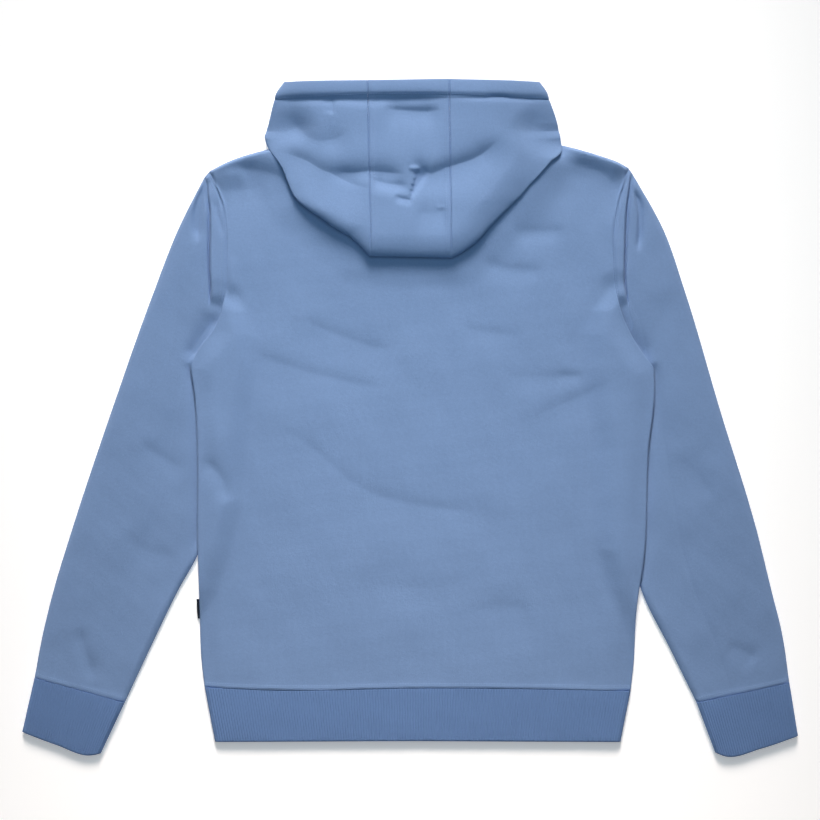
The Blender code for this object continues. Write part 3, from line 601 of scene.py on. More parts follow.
def to_mesh(name, outer, inner, finish, ring=False, sharp=50):
    """A closed shell from a fine outer grid and an inner one of the same or fewer points."""
    points = np.concatenate([outer.reshape(-1, 3), inner.reshape(-1, 3)]) * MM
    fine = np.arange(outer.shape[0] * outer.shape[1]).reshape(outer.shape[:2])
    coarse = fine.size + np.arange(inner.shape[0] * inner.shape[1]).reshape(inner.shape[:2])
    faces = grid_faces(0, *fine.shape, ring) + grid_faces(fine.size, *coarse.shape, ring)
    for row in (0, -1):
        runs = (fine[row], coarse[row])
        if ring:
            runs = [np.append(run, run[0]) for run in runs]
        faces += rim(*(run.tolist() for run in runs))
    if not ring:
        for column in (0, -1):
            faces += rim(fine[:, column].tolist(), coarse[:, column].tolist())
    mesh = bpy.data.meshes.new(name)
    mesh.from_pydata(points, [], faces)
    shell = bmesh.new()
    shell.from_mesh(mesh)
    bmesh.ops.recalc_face_normals(shell, faces=shell.faces)
    shell.to_mesh(mesh)
    shell.free()
    flat = np.concatenate([cut_coordinates(outer, ring), cut_coordinates(inner, ring)])
    corners = np.empty(len(mesh.loops), dtype=np.int32)
    mesh.loops.foreach_get("vertex_index", corners)
    mesh.uv_layers.new(name="cut").data.foreach_set("uv", flat[corners].ravel())
    mesh.shade_smooth()
    mesh.set_sharp_from_angle(angle=math.radians(sharp))
    mesh.materials.append(finish)
    return add_object(name, mesh)


def add_object(name, mesh):
    """Puts a new object in the scene, in place of an older one of that name."""
    old = bpy.data.objects.get(name)
    if old:
        bpy.data.objects.remove(old, do_unlink=True)
    new = bpy.data.objects.new(name, mesh)
    bpy.context.scene.collection.objects.link(new)
    return new


def lining(grid):
    """The inner face's fewer points, at every fourth row and column."""
    return grid[::LINING_STEP, ::LINING_STEP]


def offset_wall(middle, thick):
    """Outer and inner grids, half of thick to each side of a grid of middle points."""
    facing = unit(np.cross(middle[1:, 1:] - middle[:-1, :-1], middle[1:, :-1] - middle[:-1, 1:]))
    normal = np.zeros(middle.shape)
    for rows in (slice(1, None), slice(None, -1)):
        for columns in (slice(1, None), slice(None, -1)):
            normal[rows, columns] += facing
    shift = unit(normal) * thick[..., None] / 2
    return middle + shift, middle - shift


def sew(piece, node):
    """Places a finished piece under the root and hides the imported part it stands in for."""
    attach(piece, "root")
    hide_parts(node)
    return piece


# ---------------------------------------------------------------- body


def body_plan(neck_line, step):
    """A body panel's grid in plan: rows run up from the hem, and columns across from the left."""
    left_top = along(LEFT.shoulder, graded(length(LEFT.shoulder), step))
    right_top = along(RIGHT.shoulder, graded(length(RIGHT.shoulder), step))[::-1]
    neck = along(neck_line, graded(length(neck_line), step))
    top = np.concatenate([left_top, neck[1:], right_top[1:]])
    across = (top[:, 0] - top[0, 0]) / (top[-1, 0] - top[0, 0])
    bottom = along(HEM_SEAM, across) + [0, SEAM]
    borders = []
    for side in (LEFT, RIGHT):
        up_side = along(side.seam_side, graded(length(LEFT.seam_side), step))
        up_armhole = along(side.armhole, graded(length(LEFT.armhole), step))
        borders.append(np.concatenate([up_side, up_armhole[1:]]))
    for border in borders:
        border[0, 1] += SEAM
    first, last = borders
    up = (first[:, 1] - first[0, 1]) / (first[-1, 1] - first[0, 1])
    across = across[None, :, None]
    up = up[:, None, None]
    sides = blend(first[:, None], last[:, None], across)
    ends = blend(bottom[None], top[None], up)
    corners = blend(blend(bottom[0], bottom[-1], across), blend(top[0], top[-1], across), up)
    return sides + ends - corners


def furrows(gap):
    """How much the twin rows of stitches draw the cloth in, at a gap from their seam."""
    return sum(np.exp(-(((gap - row) / FURROW) ** 2)) for row in ROWS_OF_STITCHES)


def seam_relief(gap):
    """The doubled seam allowance beside a seam, with a furrow under each row of stitches."""
    raised = 0.55 * soft_step(gap, 0, 1.4) * soft_step(gap, 8.5, 4.5)
    return raised - 0.35 * furrows(gap)


def back_panel():
    """The back, with its drag lines and its rolled edges."""
    plan = body_plan(BACK_NECK, GRID)
    low = back_low(plan)
    hem = along(HEM_SEAM, np.linspace(0, 1, 60))
    from_hem = plan[..., 1] - np.interp(plan[..., 0], *np.transpose(hem))
    seams = (along(side.seam_side, np.linspace(0, 1, 25)) for side in (LEFT, RIGHT))
    from_side = np.minimum(*(distance(plan, seam) for seam in seams))
    edge = edge_distance(plan)
    folds = fold_height(plan, BACK_FOLDS) * creases() + ripple(plan, 90, 0.4) + ripple(plan, 34, 0.1, 0.9)
    under = np.maximum(low + folds * soft_step(edge, 0, 3), front_low(plan) + cloth() + SEAM)
    top = under + cloth() - round_edge(edge, 1.3, 0.35) - round_edge(from_side, 4.5, 1.5)
    outer = np.dstack([plan, top + seam_relief(from_hem)])
    inner = np.dstack([plan, under])
    piece = to_mesh("back_cloth", outer, lining(inner), fleece())
    return sew(piece, "back_panel")


def front_panel():
    """The front, flat on the surface."""
    plan = body_plan(FRONT_NECK, 7.0)
    low = front_low(plan)
    edge = edge_distance(plan)
    top = np.dstack([plan, low + cloth() - round_edge(edge, 1.5, 0.8)])
    under = np.dstack([plan, low + round_edge(edge, EDGE_RADIUS, 1.0) * (low > 0.5)])
    piece = to_mesh("front_cloth", under, lining(top), fleece())
    return sew(piece, "front_panel")


# ---------------------------------------------------------------- sleeves


def sleeve_head(side, shares):
    """The armhole seam in plan, the way out from it, and the pleat's width beside it."""
    hole = along(side.armhole[::-1], shares)
    run = unit(np.gradient(hole, axis=0))
    out = np.stack([run[:, 1], -run[:, 0]], axis=1) * -side.out
    under = np.clip((shares - HEAD_HIDES_AT) / (1 - HEAD_HIDES_AT), 0, 1)[:, None]
    hidden = blend(np.array(side.hidden_head[0]), np.array(side.hidden_head[1]), under)
    seam = blend(hole + out * SEAM, hidden, soft_step(shares, HEAD_HIDES_AT, HEAD_HIDDEN_AT)[:, None])
    shoulder_run = unit(np.subtract(side.outer_edge[1], side.outer_edge[0]))
    way = unit(blend(shoulder_run, out, soft_step(shares, 0, 0.15)[:, None]))
    strip = np.interp(shares, np.linspace(0, 1, len(side.strip)), side.strip)
    tuck = HEAD_TUCK * soft_step(shares, HEAD_TUCKS_FROM, HEAD_FALLEN_AT)
    tuck *= soft_step(shares, HEAD_HIDDEN_AT, HEAD_HIDES_AT)
    return seam - way * tuck[:, None], way, strip + tuck


def fold_gap(plan):
    """How far each point of a flattened tube's plan is from its nearest fold."""
    gap = np.linalg.norm(plan - plan[:, :1], axis=2)
    return np.minimum(gap, np.linalg.norm(plan - plan[:, -1:], axis=2))


def tube(plan, top, edge_radius):
    """Loops of a flattened tube on the surface. plan and top hold its rings, from fold to fold."""
    gap = fold_gap(plan)
    middle = top * 0.42
    low = round_edge(gap, 5, 1) * top * 0.42
    rise = 1 - round_edge(gap, edge_radius, 1)
    upper = np.dstack([plan, middle + (top - middle) * rise])
    under = np.dstack([plan, low])
    return upper, under


def close_loop(upper, under):
    """One ring grid from a tube's upper and under sides."""
    return np.concatenate([upper, under[:, -2:0:-1]], axis=1)


# Shares of the strip from the armhole seam to the pleat's edge, closer where the edge rolls.
STRIP_SHARES = np.array([0, 3, 7, 13, 20, 28, 36, 45, 58, 70, 80, 87, 92, 95.5, 98, 99.5]) / 100


def sleeve_plan(side, seam, way, strip, shares, down):
    """A sleeve in plan: the rows of the strip beside the armhole, and the rings down to the cuff."""
    pleat_foot = seam + way * (strip + PLEAT_STEP)[:, None]
    outer_edge = [tuple(pleat_foot[0])] + side.outer_edge[2:]
    inner_edge = [tuple(pleat_foot[-1])] + side.inner_edge[1:]
    outside = along(outer_edge, down)[:, None]
    inside = along(inner_edge, down**SLEEVE_POWER)[:, None]
    straight = blend(outside, inside, shares[None, :, None])
    bow = pleat_foot - straight[0]
    rings = straight + bow[None] * (1 - soft_step(down, 0, SLEEVE_TURN))[:, None, None]
    head = seam[None] + (way * strip[:, None])[None] * STRIP_SHARES[:, None, None]
    return head, rings


def sleeve_height(seam, strip, shares, down):
    """The top of a sleeve before its folds: the strip, its rolled edge and the puffed length."""
    under_body = soft_step(shares, HEAD_FALLS_FROM, HEAD_FALLEN_AT)
    seam_top = blend(back_low(seam) + cloth(), SLEEVE_HEIGHT, under_body)
    above = (1 - under_body)[None]
    gap = strip[None] * STRIP_SHARES[:, None]
    head = seam_top[None] + soft_step(gap, 0, 6) * above - 0.4 * furrows(gap)
    head -= round_edge(gap, 1.5, 0.7 * above)
    head -= round_edge(strip[None] - gap, PLEAT_ROLL, PLEAT_DROP * above)
    puff = SLEEVE_PUFF * np.sin(np.pi * np.clip(shares / PUFF_END, 0, 1)) ** 0.8
    length_wise = np.sin(np.pi * np.clip(down, 0.02, 0.93))[:, None] ** 0.5
    beside_pleat = above * PLEAT_HOLLOW * soft_step(down, 0.015, 0.001)[:, None]
    return np.concatenate([head, SLEEVE_HEIGHT + puff[None, :] * length_wise - beside_pleat])


def sleeve(which, side):
    """A sleeve: the strip of cloth beside the armhole seam, the pleat's edge, and on to the cuff."""
    shares = graded(1, 0.0092, 0.0022)
    down = graded(620, 2.2)
    seam, way, strip = sleeve_head(side, shares)
    head, rings = sleeve_plan(side, seam, way, strip, shares, down)
    plan = np.concatenate([head, rings])
    top = sleeve_height(seam, strip, shares, down)
    folds = fold_height(plan, SLEEVE_FOLDS) + ripple(plan, 74, 0.4, 1.7) + ripple(plan, 30, 0.1)
    folds[: len(head)] = fold_height(head, SLEEVE_FOLDS + BACK_FOLDS)
    beside_body = np.exp(-((distance(plan, side.seam_side) / 7) ** 2))
    folds -= BODY_PRESS * beside_body * soft_step(plan[..., 1], 75, 50)
    top += folds * creases() * soft_step(fold_gap(plan), 0, 10)
    upper, under = tube(plan, np.maximum(top, LEAST_SLEEVE), SLEEVE_EDGE)
    to_cuff = np.linalg.norm(plan - plan[-1:], axis=2)
    upper[..., 2] += seam_relief(to_cuff) - round_edge(to_cuff, 1.2, 0.3)
    inner_upper, inner_under = upper.copy(), under.copy()
    inner_under[..., 2] = np.minimum(cloth(), (upper[..., 2] + under[..., 2]) / 2)
    inner_upper[..., 2] = np.maximum(upper[..., 2] - cloth(), inner_under[..., 2] + 0.1)
    outer = close_loop(upper, under)
    inner = close_loop(inner_upper, inner_under)
    piece = to_mesh(f"sleeve_{which}_cloth", outer, lining(inner), fleece(), ring=True)
    sew(piece, f"sleeve_{which}")


# ---------------------------------------------------------------- ribs


def rib_wave(share, ribs):
    """A rib's height, at shares across a band with that many ribs."""
    return np.abs(np.sin(np.pi * ribs * share)) ** 0.7


def band(name, node, seam, end, ribs):
    """A doubled rib band: seam and end are its two edges, at the same shares across."""
    rows = graded(1, 0.05, 0.012)[:, None, None]
    plan = blend(seam[None], end[None], rows)
    share = np.linspace(0, 1, seam.shape[0])
    reach = np.linalg.norm(plan - plan[:1], axis=2)
    to_edge = np.linalg.norm(plan - plan[-1:], axis=2)
    top = BAND_HEIGHT + 0.35 * np.sin(np.pi * reach / 62) + ripple(plan, 58, 0.16, 0.4)
    upper, under = tube(plan, top - round_edge(to_edge, 0.9, 0.35) - round_edge(reach, 1.2, 0.1), 6)
    fade = soft_step(to_edge, 0.2, 1.5)
    upper[..., 2] += sizes().rib_depth / MM * rib_wave(share, ribs)[None] * fade
    under[..., 2] += round_edge(to_edge, 3.0, 1.6)
    inner_upper, inner_under = upper.copy(), under.copy()
    middle = (upper[..., 2] + under[..., 2]) / 2
    inner_upper[..., 2] = middle + 0.25
    inner_under[..., 2] = middle - 0.25
    outer = close_loop(upper, under)
    inner = close_loop(inner_upper, inner_under)
    piece = to_mesh(name, outer, lining(inner), rib_knit(), ring=True)
    return sew(piece, node)


def rib_shares(width):
    """Shares across a band, six to a rib, and the count of ribs."""
    ribs = round(width * MM / sizes().rib_pitch)
    ribs += ribs % 2
    return np.linspace(0, 1, 6 * ribs + 1), ribs


def cuff(which, side):
    """A cuff, from the sleeve's end to its own edge."""
    top, foot = np.array(side.outer_edge[-1]), np.array(side.inner_edge[-1])
    shares, ribs = rib_shares(np.linalg.norm(top - foot))
    seam = blend(top, foot, shares[:, None])
    end = along(side.cuff_end, shares)
    seam = seam + unit(end.mean(axis=0) - seam.mean(axis=0)) * SEAM
    return band(f"cuff_{which}_cloth", f"cuff_{which}", seam, end, ribs)


def hem_band():
    """The band along the body's foot."""
    shares, ribs = rib_shares(length(HEM_SEAM))
    seam, end = along(HEM_SEAM, shares), along(HEM_EDGE, shares)
    return band("hem_cloth", "hem_band", seam, end, ribs)


# ---------------------------------------------------------------- hood


def seam_x(which, y):
    """Where the seam of the hood's centre panel lies, at a height on the garment."""
    share = np.clip((CENTRE_TOP_Y - y) / (CENTRE_TOP_Y - CENTRE_FOOT_Y), 0, 1)
    return blend(CENTRE_TOP[which], CENTRE_FOOT[which], share)


def section_places():
    """Where the fine rows of a hood side panel lie between the rows of its table."""
    casing = graded(CASING_ROW, 0.09, 0.03) * CASING_ROW
    below = CASING_ROW + np.concatenate([[0.03, 0.07, 0.12, 0.18], np.linspace(0.25, 7, 92)])
    rest = np.linspace(CASING_ROW + 7, len(LEFT_SECTIONS) - 1, 97)[1:]
    return np.concatenate([casing, below, rest])


def hood_side(which, sections, rolls):
    """The middle grid of a hood side panel, and its thickness."""
    table = np.array(sections, float)
    neck = nearest(table[:ON_SURFACE_ROWS, 5:7], along(FRONT_NECK, np.linspace(0, 1, 9)))
    table[:ON_SURFACE_ROWS, 5:7] = neck + unit(table[:ON_SURFACE_ROWS, 5:7] - neck) * SEAM
    rows = np.arange(len(table))
    places = section_places()
    smooth = through(table[:, :3], rows, places)
    straight = np.column_stack([np.interp(places, rows, column) for column in table[:, 3:].T])
    fold, gate, end = smooth[:, 1:3], straight[:, 0:2], straight[:, 2:4]
    on_back = straight[:, 4][:, None]
    start = np.column_stack([seam_x(which, smooth[:, 0]), smooth[:, 0]])
    roll, fullness, share, reach = (
        np.interp(places, *np.array(rolls)[:, [0, k]].T)[:, None, None] for k in range(1, 5)
    )
    way = unit(fold - start)[:, None]
    start, fold, gate, end = start[:, None], fold[:, None] + way * reach, gate[:, None], end[:, None]
    roll = np.minimum(roll, 0.85 * np.linalg.norm(fold - start, axis=2, keepdims=True))
    turn = fold - way * ROLL_BELOW
    across = np.linspace(0, 1, UPPER_POINTS - ROLL_POINTS)[None, :, None]
    upper = blend(start, fold - way * roll, across)
    angle = np.linspace(np.pi / 2, 0, ROLL_POINTS + 1)[None, 1:, None]
    rolled = fold - way * roll * (1 - np.cos(angle) ** fullness)
    legs = np.linspace(0, 1, 11)[None, :, None]
    under = np.concatenate([blend(turn, gate, legs), blend(gate, end, legs)[:, 1:]], axis=1)
    casing = np.clip(places / CASING_ROW, 0, 1)
    tunnel = (CASING - cloth()) * np.sin(np.pi * casing) ** 0.5
    on_surface = FLOOR_REST + (cloth() + CASING_UNDER * tunnel[:, None]) / 2
    under_height = blend(on_surface, back_low(under) + cloth() + HOOD_REST + cloth() / 2, on_back)
    foot = under_height[:, :1]
    top = crown(rolled)
    middle = blend(foot, top[:, -1:], share[..., 0])
    rolled_height = middle + (top - middle) * np.sin(angle[..., 0]) ** fullness[..., 0]
    angle = np.linspace(0, np.pi / 2, 10)[None, 1:-1, None]
    turned = turn + way * ROLL_BELOW * np.cos(angle)
    turned_height = middle - (middle - foot) * np.sin(angle[..., 0])
    plan = np.concatenate([upper, rolled, turned, under], axis=1)
    height = np.concatenate([crown(upper), rolled_height, turned_height, under_height], axis=1)
    grid = np.dstack([plan, height])
    groove = 0.7 * np.exp(-(((places - CASING_ROW) / 0.07) ** 2))
    below = soft_step(np.arange(grid.shape[1]), UPPER_POINTS - 16, UPPER_POINTS + 8)
    thick = cloth() + np.outer(tunnel, blend(1.0, CASING_UNDER, below)) - groove[:, None]
    return grid, thick


def border(grid):
    """A side panel's edge along the centre panel: down the top, round the foot and up to the neck."""
    first = int(np.searchsorted(section_places(), FIRST_LOWER_SEAM_ROW))
    return np.concatenate([grid[:-1, 0], grid[-1], grid[-2 : first - 1 : -1, -1]])


def hood_side_panel(which, sections, rolls):
    """One of the hood's side panels. Returns the edges of its outer and inner faces."""
    middle, thick = hood_side(which, sections, rolls)
    outer, inner = offset_wall(middle, thick)
    if outer[:, 0, 2].mean() < inner[:, 0, 2].mean():
        outer, inner = inner, outer
    rows, columns = np.arange(outer.shape[0])[:, None], np.arange(outer.shape[1])
    corner = soft_step(rows, len(rows) - 40, len(rows) - 4)
    corner = corner * soft_step(columns, UPPER_POINTS - ROLL_POINTS, UPPER_POINTS - 60)
    corner = corner[..., None]  # the sections meet here, so the wall is laid off upright
    upright = np.dstack([np.zeros((*thick.shape, 2)), thick / 2])
    outer, inner = blend(outer, middle + upright, corner), blend(inner, middle - upright, corner)
    seam_gap = np.linalg.norm(outer - outer[:, :1], axis=2)
    seam_gap = np.minimum(seam_gap, np.linalg.norm(outer - outer[-1:], axis=2))
    on_top = soft_step(columns, UPPER_POINTS, UPPER_POINTS - ROLL_POINTS)
    outer[..., 2] -= round_edge(seam_gap, 1.8, 1) * HOOD_SEAM[which] * on_top
    piece = to_mesh(f"hood_{which}_cloth", outer, lining(inner), fleece())
    sew(piece, f"hood_{which}_panel")
    return border(outer), border(inner)


def hood_centre_panel(left_edges, right_edges):
    """The hood's centre panel, from the side panels' edges on its outer and inner faces."""
    share = graded(92, 1.7, 0.5)[None, :, None]
    top_points = len(section_places()) + UPPER_POINTS
    fade = soft_step(np.arange(top_points), top_points, top_points - ROLL_POINTS)[:, None]
    grids = []
    for left, right in zip(left_edges, right_edges):
        gap = unit(right - left) * TOUCH
        grid = blend((left + gap)[:, None], (right - gap)[:, None], share)
        level = crown(grid[:top_points, :, :2])
        level -= blend(level[:, :1], level[:, -1:], share[..., 0])
        grid[:top_points, :, 2] += level * fade
        grids.append(grid)
    outer, inner = grids
    seam_gap = np.linalg.norm(outer - outer[:, :1], axis=2)
    far_gap = np.linalg.norm(outer - outer[:, -1:], axis=2)
    stitched = seam_relief(seam_gap) * 0.7 + seam_relief(far_gap) * 0.4
    stitched += HOOD_SEAM["left"] * soft_step(seam_gap, 0, 1.8) * soft_step(far_gap, 0, 1.8)
    outer[:top_points, :, 2] += stitched[:top_points] * fade
    piece = to_mesh("hood_centre_cloth", outer, inner, fleece())
    sew(piece, "hood_centre_panel")


def hood():
    """The hood's two side panels, and the centre panel between them."""
    left = hood_side_panel("left", LEFT_SECTIONS, LEFT_ROLL)
    right = hood_side_panel("right", RIGHT_SECTIONS, RIGHT_ROLL)
    hood_centre_panel(left, right)


# ---------------------------------------------------------------- tab and stitching


TAB_ENDS = (-230, -207)  # along the side seam
TAB_REACH = 3.2  # out from it


def side_tab():
    """A folded woven tape caught in the left side seam."""
    edge = along(LEFT.seam_side, np.linspace(0, 1, 60))
    rows = np.linspace(*TAB_ENDS, 47)
    sewn = np.column_stack([np.interp(rows, edge[:, 1], edge[:, 0]) - SEAM, rows])
    out = np.linspace(TAB_REACH, 0, 15)
    plan = np.stack([sewn - [reach, 0] for reach in out], axis=1)
    plan[..., 0] += 0.8 * soft_step(rows, -222, -230)[:, None] * (out / TAB_REACH)
    height = front_low(sewn)[:, None] + cloth() + 0.15 * np.sin(rows / 2.2)[:, None]
    thick = 0.55 - round_edge(out, 0.6, 0.2) + 0.05 * np.abs(np.sin(rows * 4))[:, None]
    edge_thin = round_edge(edge_distance(plan), 0.7, 0.4)
    outer = np.dstack([plan, height + thick - edge_thin])
    inner = np.dstack([plan, height - thick + edge_thin])
    piece = to_mesh("tab_cloth", outer, inner, tape())
    return sew(piece, "side_tab")


def stitch(plan, heights, width):
    """The points of one stitch in metres, as rings round the places of its bent thread."""
    run = unit(plan[-1] - plan[0])
    across = np.array([-run[1], run[0]])
    points = []
    for p, height, girth, rise in zip(plan, heights, STITCH_GIRTHS, STITCH_RISES):
        r, up = width / 2 * girth, width * rise
        for a in np.arange(RING) * 2 * np.pi / RING:
            off = across * np.cos(a) * r
            points.append(((p[0] + off[0]) * MM, (p[1] + off[1]) * MM, height + (up + r * np.sin(a)) * MM))
    return points


STITCH_PLACES = np.array([0.02, 0.2, 0.5, 0.72])  # along its pitch
STITCH_GIRTHS = np.array([0.35, 0.9, 1.0, 0.4])
STITCH_RISES = np.array([-0.25, 0.12, 0.16, -0.2])
RING = 6


def stitches(name, lines, piece_names):
    """Rows of stitches that lie on the pieces below them. lines are plan curves."""
    pitch, width = sizes().stitch / MM, sizes().thread / MM
    surface = bmesh.new()
    for piece_name in piece_names:
        surface.from_mesh(bpy.data.objects[piece_name].data)
    tree = BVHTree.FromBMesh(surface)
    last = len(STITCH_PLACES) - 1
    verts, faces = [], []
    for line in lines:
        line = np.asarray(line, float)
        place = np.concatenate([[0], np.cumsum(np.linalg.norm(np.diff(line, axis=0), axis=1))])
        for start in np.arange(0, place[-1] - pitch, pitch):
            at = start + pitch * STITCH_PLACES
            plan = np.column_stack([np.interp(at, place, line[:, k]) for k in (0, 1)])
            down = Vector((0, 0, -1))
            hits = [tree.ray_cast(Vector((x * MM, y * MM, 0.1)), down)[0] for x, y in plan]
            if any(hit is None for hit in hits):
                continue
            rings = [len(verts) + RING * k for k in range(last + 1)]
            verts += stitch(plan, [hit.z for hit in hits], width)
            for low, high in zip(rings[:-1], rings[1:]):
                for a in range(RING):
                    b = (a + 1) % RING
                    faces.append([low + a, low + b, high + b, high + a])
            faces.append([rings[0] + a for a in range(RING - 1, -1, -1)])
            faces.append([rings[last] + a for a in range(RING)])
    surface.free()
    mesh = bpy.data.meshes.new(name)
    mesh.from_pydata(verts, [], faces)
    mesh.shade_smooth()
    mesh.materials.append(thread())
    piece = add_object(name, mesh)
    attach(piece, "root")
    return piece


# ---------------------------------------------------------------- materials


def knit(name, colour, wale, course, bump, fuzz):
    """Knit cloth: stitches in columns and rows, a brushed nap, slightly uneven dye, and painted shade that
    darkens the hollows between its raised stitches.
    """
    old = bpy.data.materials.get(name)
    if old:
        return old
    new = bpy.data.materials.new(name)
    new.use_nodes = True
    tree = new.node_tree
    nodes, links = tree.nodes, tree.links
    shader = nodes["Principled BSDF"]
    shader.inputs["Roughness"].default_value = 0.92
    shader.inputs["Sheen Weight"].default_value = 0.12
    shader.inputs["Sheen Roughness"].default_value = 0.55
    shader.inputs["Sheen Tint"].default_value = (0.72, 0.82, 1.0, 1)
    shader.inputs["Specular IOR Level"].default_value = 0.12
    place = nodes.new("ShaderNodeTexCoord")
    flat = nodes.new("ShaderNodeUVMap")
    flat.uv_map = "cut"

    def math_node(kind, first, second=None, clamp=False):
        node = nodes.new("ShaderNodeMath")
        node.operation = kind
        node.use_clamp = clamp
        for socket, value in zip(node.inputs, (first, second)):
            if isinstance(value, (int, float)):
                socket.default_value = value
            elif value is not None:
                links.new(value, socket)
        return node.outputs[0]

    def noise(scale, detail, rough=0.55, source=None):
        node = nodes.new("ShaderNodeTexNoise")
        node.inputs["Scale"].default_value = scale
        node.inputs["Detail"].default_value = detail
        node.inputs["Roughness"].default_value = rough
        links.new(source or place.outputs["Object"], node.inputs["Vector"])
        return node.outputs["Fac"]

    split = nodes.new("ShaderNodeSeparateXYZ")
    links.new(flat.outputs["UV"], split.inputs[0])
    columns = math_node("MULTIPLY", split.outputs[0], 2 * math.pi / wale)
    rows = math_node("MULTIPLY", split.outputs[1], 2 * math.pi / course)
    stems = math_node("ABSOLUTE", math_node("SINE", math_node("MULTIPLY", columns, 0.5)))
    loops = math_node("SINE", math_node("ADD", rows, math_node("MULTIPLY", stems, 2.2)))
    pattern = math_node("ADD", math_node("MULTIPLY", stems, 0.6), math_node("MULTIPLY", loops, 0.25))
    nap = noise(1500, 3, 0.7)
    clumps = noise(330, 4, 0.6)
    relief = math_node("ADD", math_node("MULTIPLY", pattern, bump), math_node("MULTIPLY", nap, fuzz))
    relief = math_node("ADD", relief, math_node("MULTIPLY", clumps, fuzz * 1.2))
    raised = nodes.new("ShaderNodeBump")
    raised.inputs["Distance"].default_value = 0.0004
    raised.inputs["Strength"].default_value = 0.6
    links.new(relief, raised.inputs["Height"])
    links.new(raised.outputs["Normal"], shader.inputs["Normal"])

    def tint(share, dark, light):
        node = nodes.new("ShaderNodeMapRange")
        node.inputs["To Min"].default_value = dark
        node.inputs["To Max"].default_value = light
        links.new(share, node.inputs["Value"])
        return node.outputs["Result"]

    shade = math_node("MULTIPLY", tint(noise(5, 3), 0.955, 1.045), tint(clumps, 0.93, 1.07))
    # painted shade: the base colour follows the knit pattern's relief, darker in the hollows between stitches
    # and lighter on the raised ones
    shade = math_node("MULTIPLY", shade, tint(pattern, 0.965, 1.03))
    shade = math_node("MULTIPLY", shade, tint(noise(48, 4), 0.97, 1.03))
    dye = nodes.new("ShaderNodeMix")
    dye.data_type = "RGBA"
    dye.blend_type = "MULTIPLY"
    dye.inputs["Factor"].default_value = 1
    dye.inputs["A"].default_value = (*colour, 1)
    grey = nodes.new("ShaderNodeCombineColor")
    for socket in grey.inputs:
        links.new(shade, socket)
    links.new(grey.outputs[0], dye.inputs["B"])
    links.new(dye.outputs["Result"], shader.inputs["Base Color"])
    return new


def fleece():
    """The body's, the sleeves' and the hood's cloth."""
    return knit("brushed_fleece", dyes().fleece, 0.0013, 0.0010, 0.35, 0.8)


def rib_knit():
    """The bands' cloth."""
    return knit("rib_knit", dyes().rib, 0.0031, 0.0013, 0.6, 0.45)


def thread():
    """The sewing thread."""
    return knit("sewing_thread", dyes().thread, 0.0008, 0.0006, 0.5, 0.2)


def tape():
    """The side tab's woven tape."""
    return knit("woven_tape", dyes().tape, 0.0007, 0.0005, 0.8, 0.1)


def plain(name, colour, roughness, glow):
    """A plain surface for the stage."""
    new = bpy.data.materials.get(name) or bpy.data.materials.new(name)
    new.use_nodes = True
    shader = new.node_tree.nodes["Principled BSDF"]
    shader.inputs["Base Color"].default_value = (*colour, 1)
    shader.inputs["Roughness"].default_value = roughness
    shader.inputs["Emission Color"].default_value = (1, 1, 1, 1)
    shader.inputs["Emission Strength"].default_value = glow
    return new


# ---------------------------------------------------------------- operators


class SWEATSHIRT_OT_body(bpy.types.Operator):
    """Make the front and the back of the body"""

    bl_idname = "sweatshirt.body"
    bl_label = "Body"

    def execute(self, context):
        front_panel()
        back_panel()
        return {"FINISHED"}


class SWEATSHIRT_OT_sleeves(bpy.types.Operator):
    """Make both sleeves, with the pleats at their heads"""

    bl_idname = "sweatshirt.sleeves"
    bl_label = "Sleeves"

    def execute(self, context):
        for which, side in SIDES.items():
            sleeve(which, side)
        return {"FINISHED"}


class SWEATSHIRT_OT_ribs(bpy.types.Operator):
    """Make the rib cuffs and the rib hem band"""

    bl_idname = "sweatshirt.ribs"
    bl_label = "Cuffs and hem band"

    def execute(self, context):
        for which, side in SIDES.items():
            cuff(which, side)
        hem_band()
        return {"FINISHED"}


class SWEATSHIRT_OT_hood(bpy.types.Operator):
    """Make the hood's three panels, turned down over the back"""

    bl_idname = "sweatshirt.hood"
    bl_label = "Hood"

    def execute(self, context):
        hood()
        return {"FINISHED"}


class SWEATSHIRT_OT_tab(bpy.types.Operator):
    """Make the tape tab in the side seam"""

    bl_idname = "sweatshirt.tab"
    bl_label = "Side tab"

    def execute(self, context):
        side_tab()
        return {"FINISHED"}


ARMHOLE_STITCHED = 0.64  # the share of an armhole, from the shoulder, that shows its stitches
CASING_STITCHES = [(-153.5, 366), (-48, 370), (43, 370), (161, 366)]


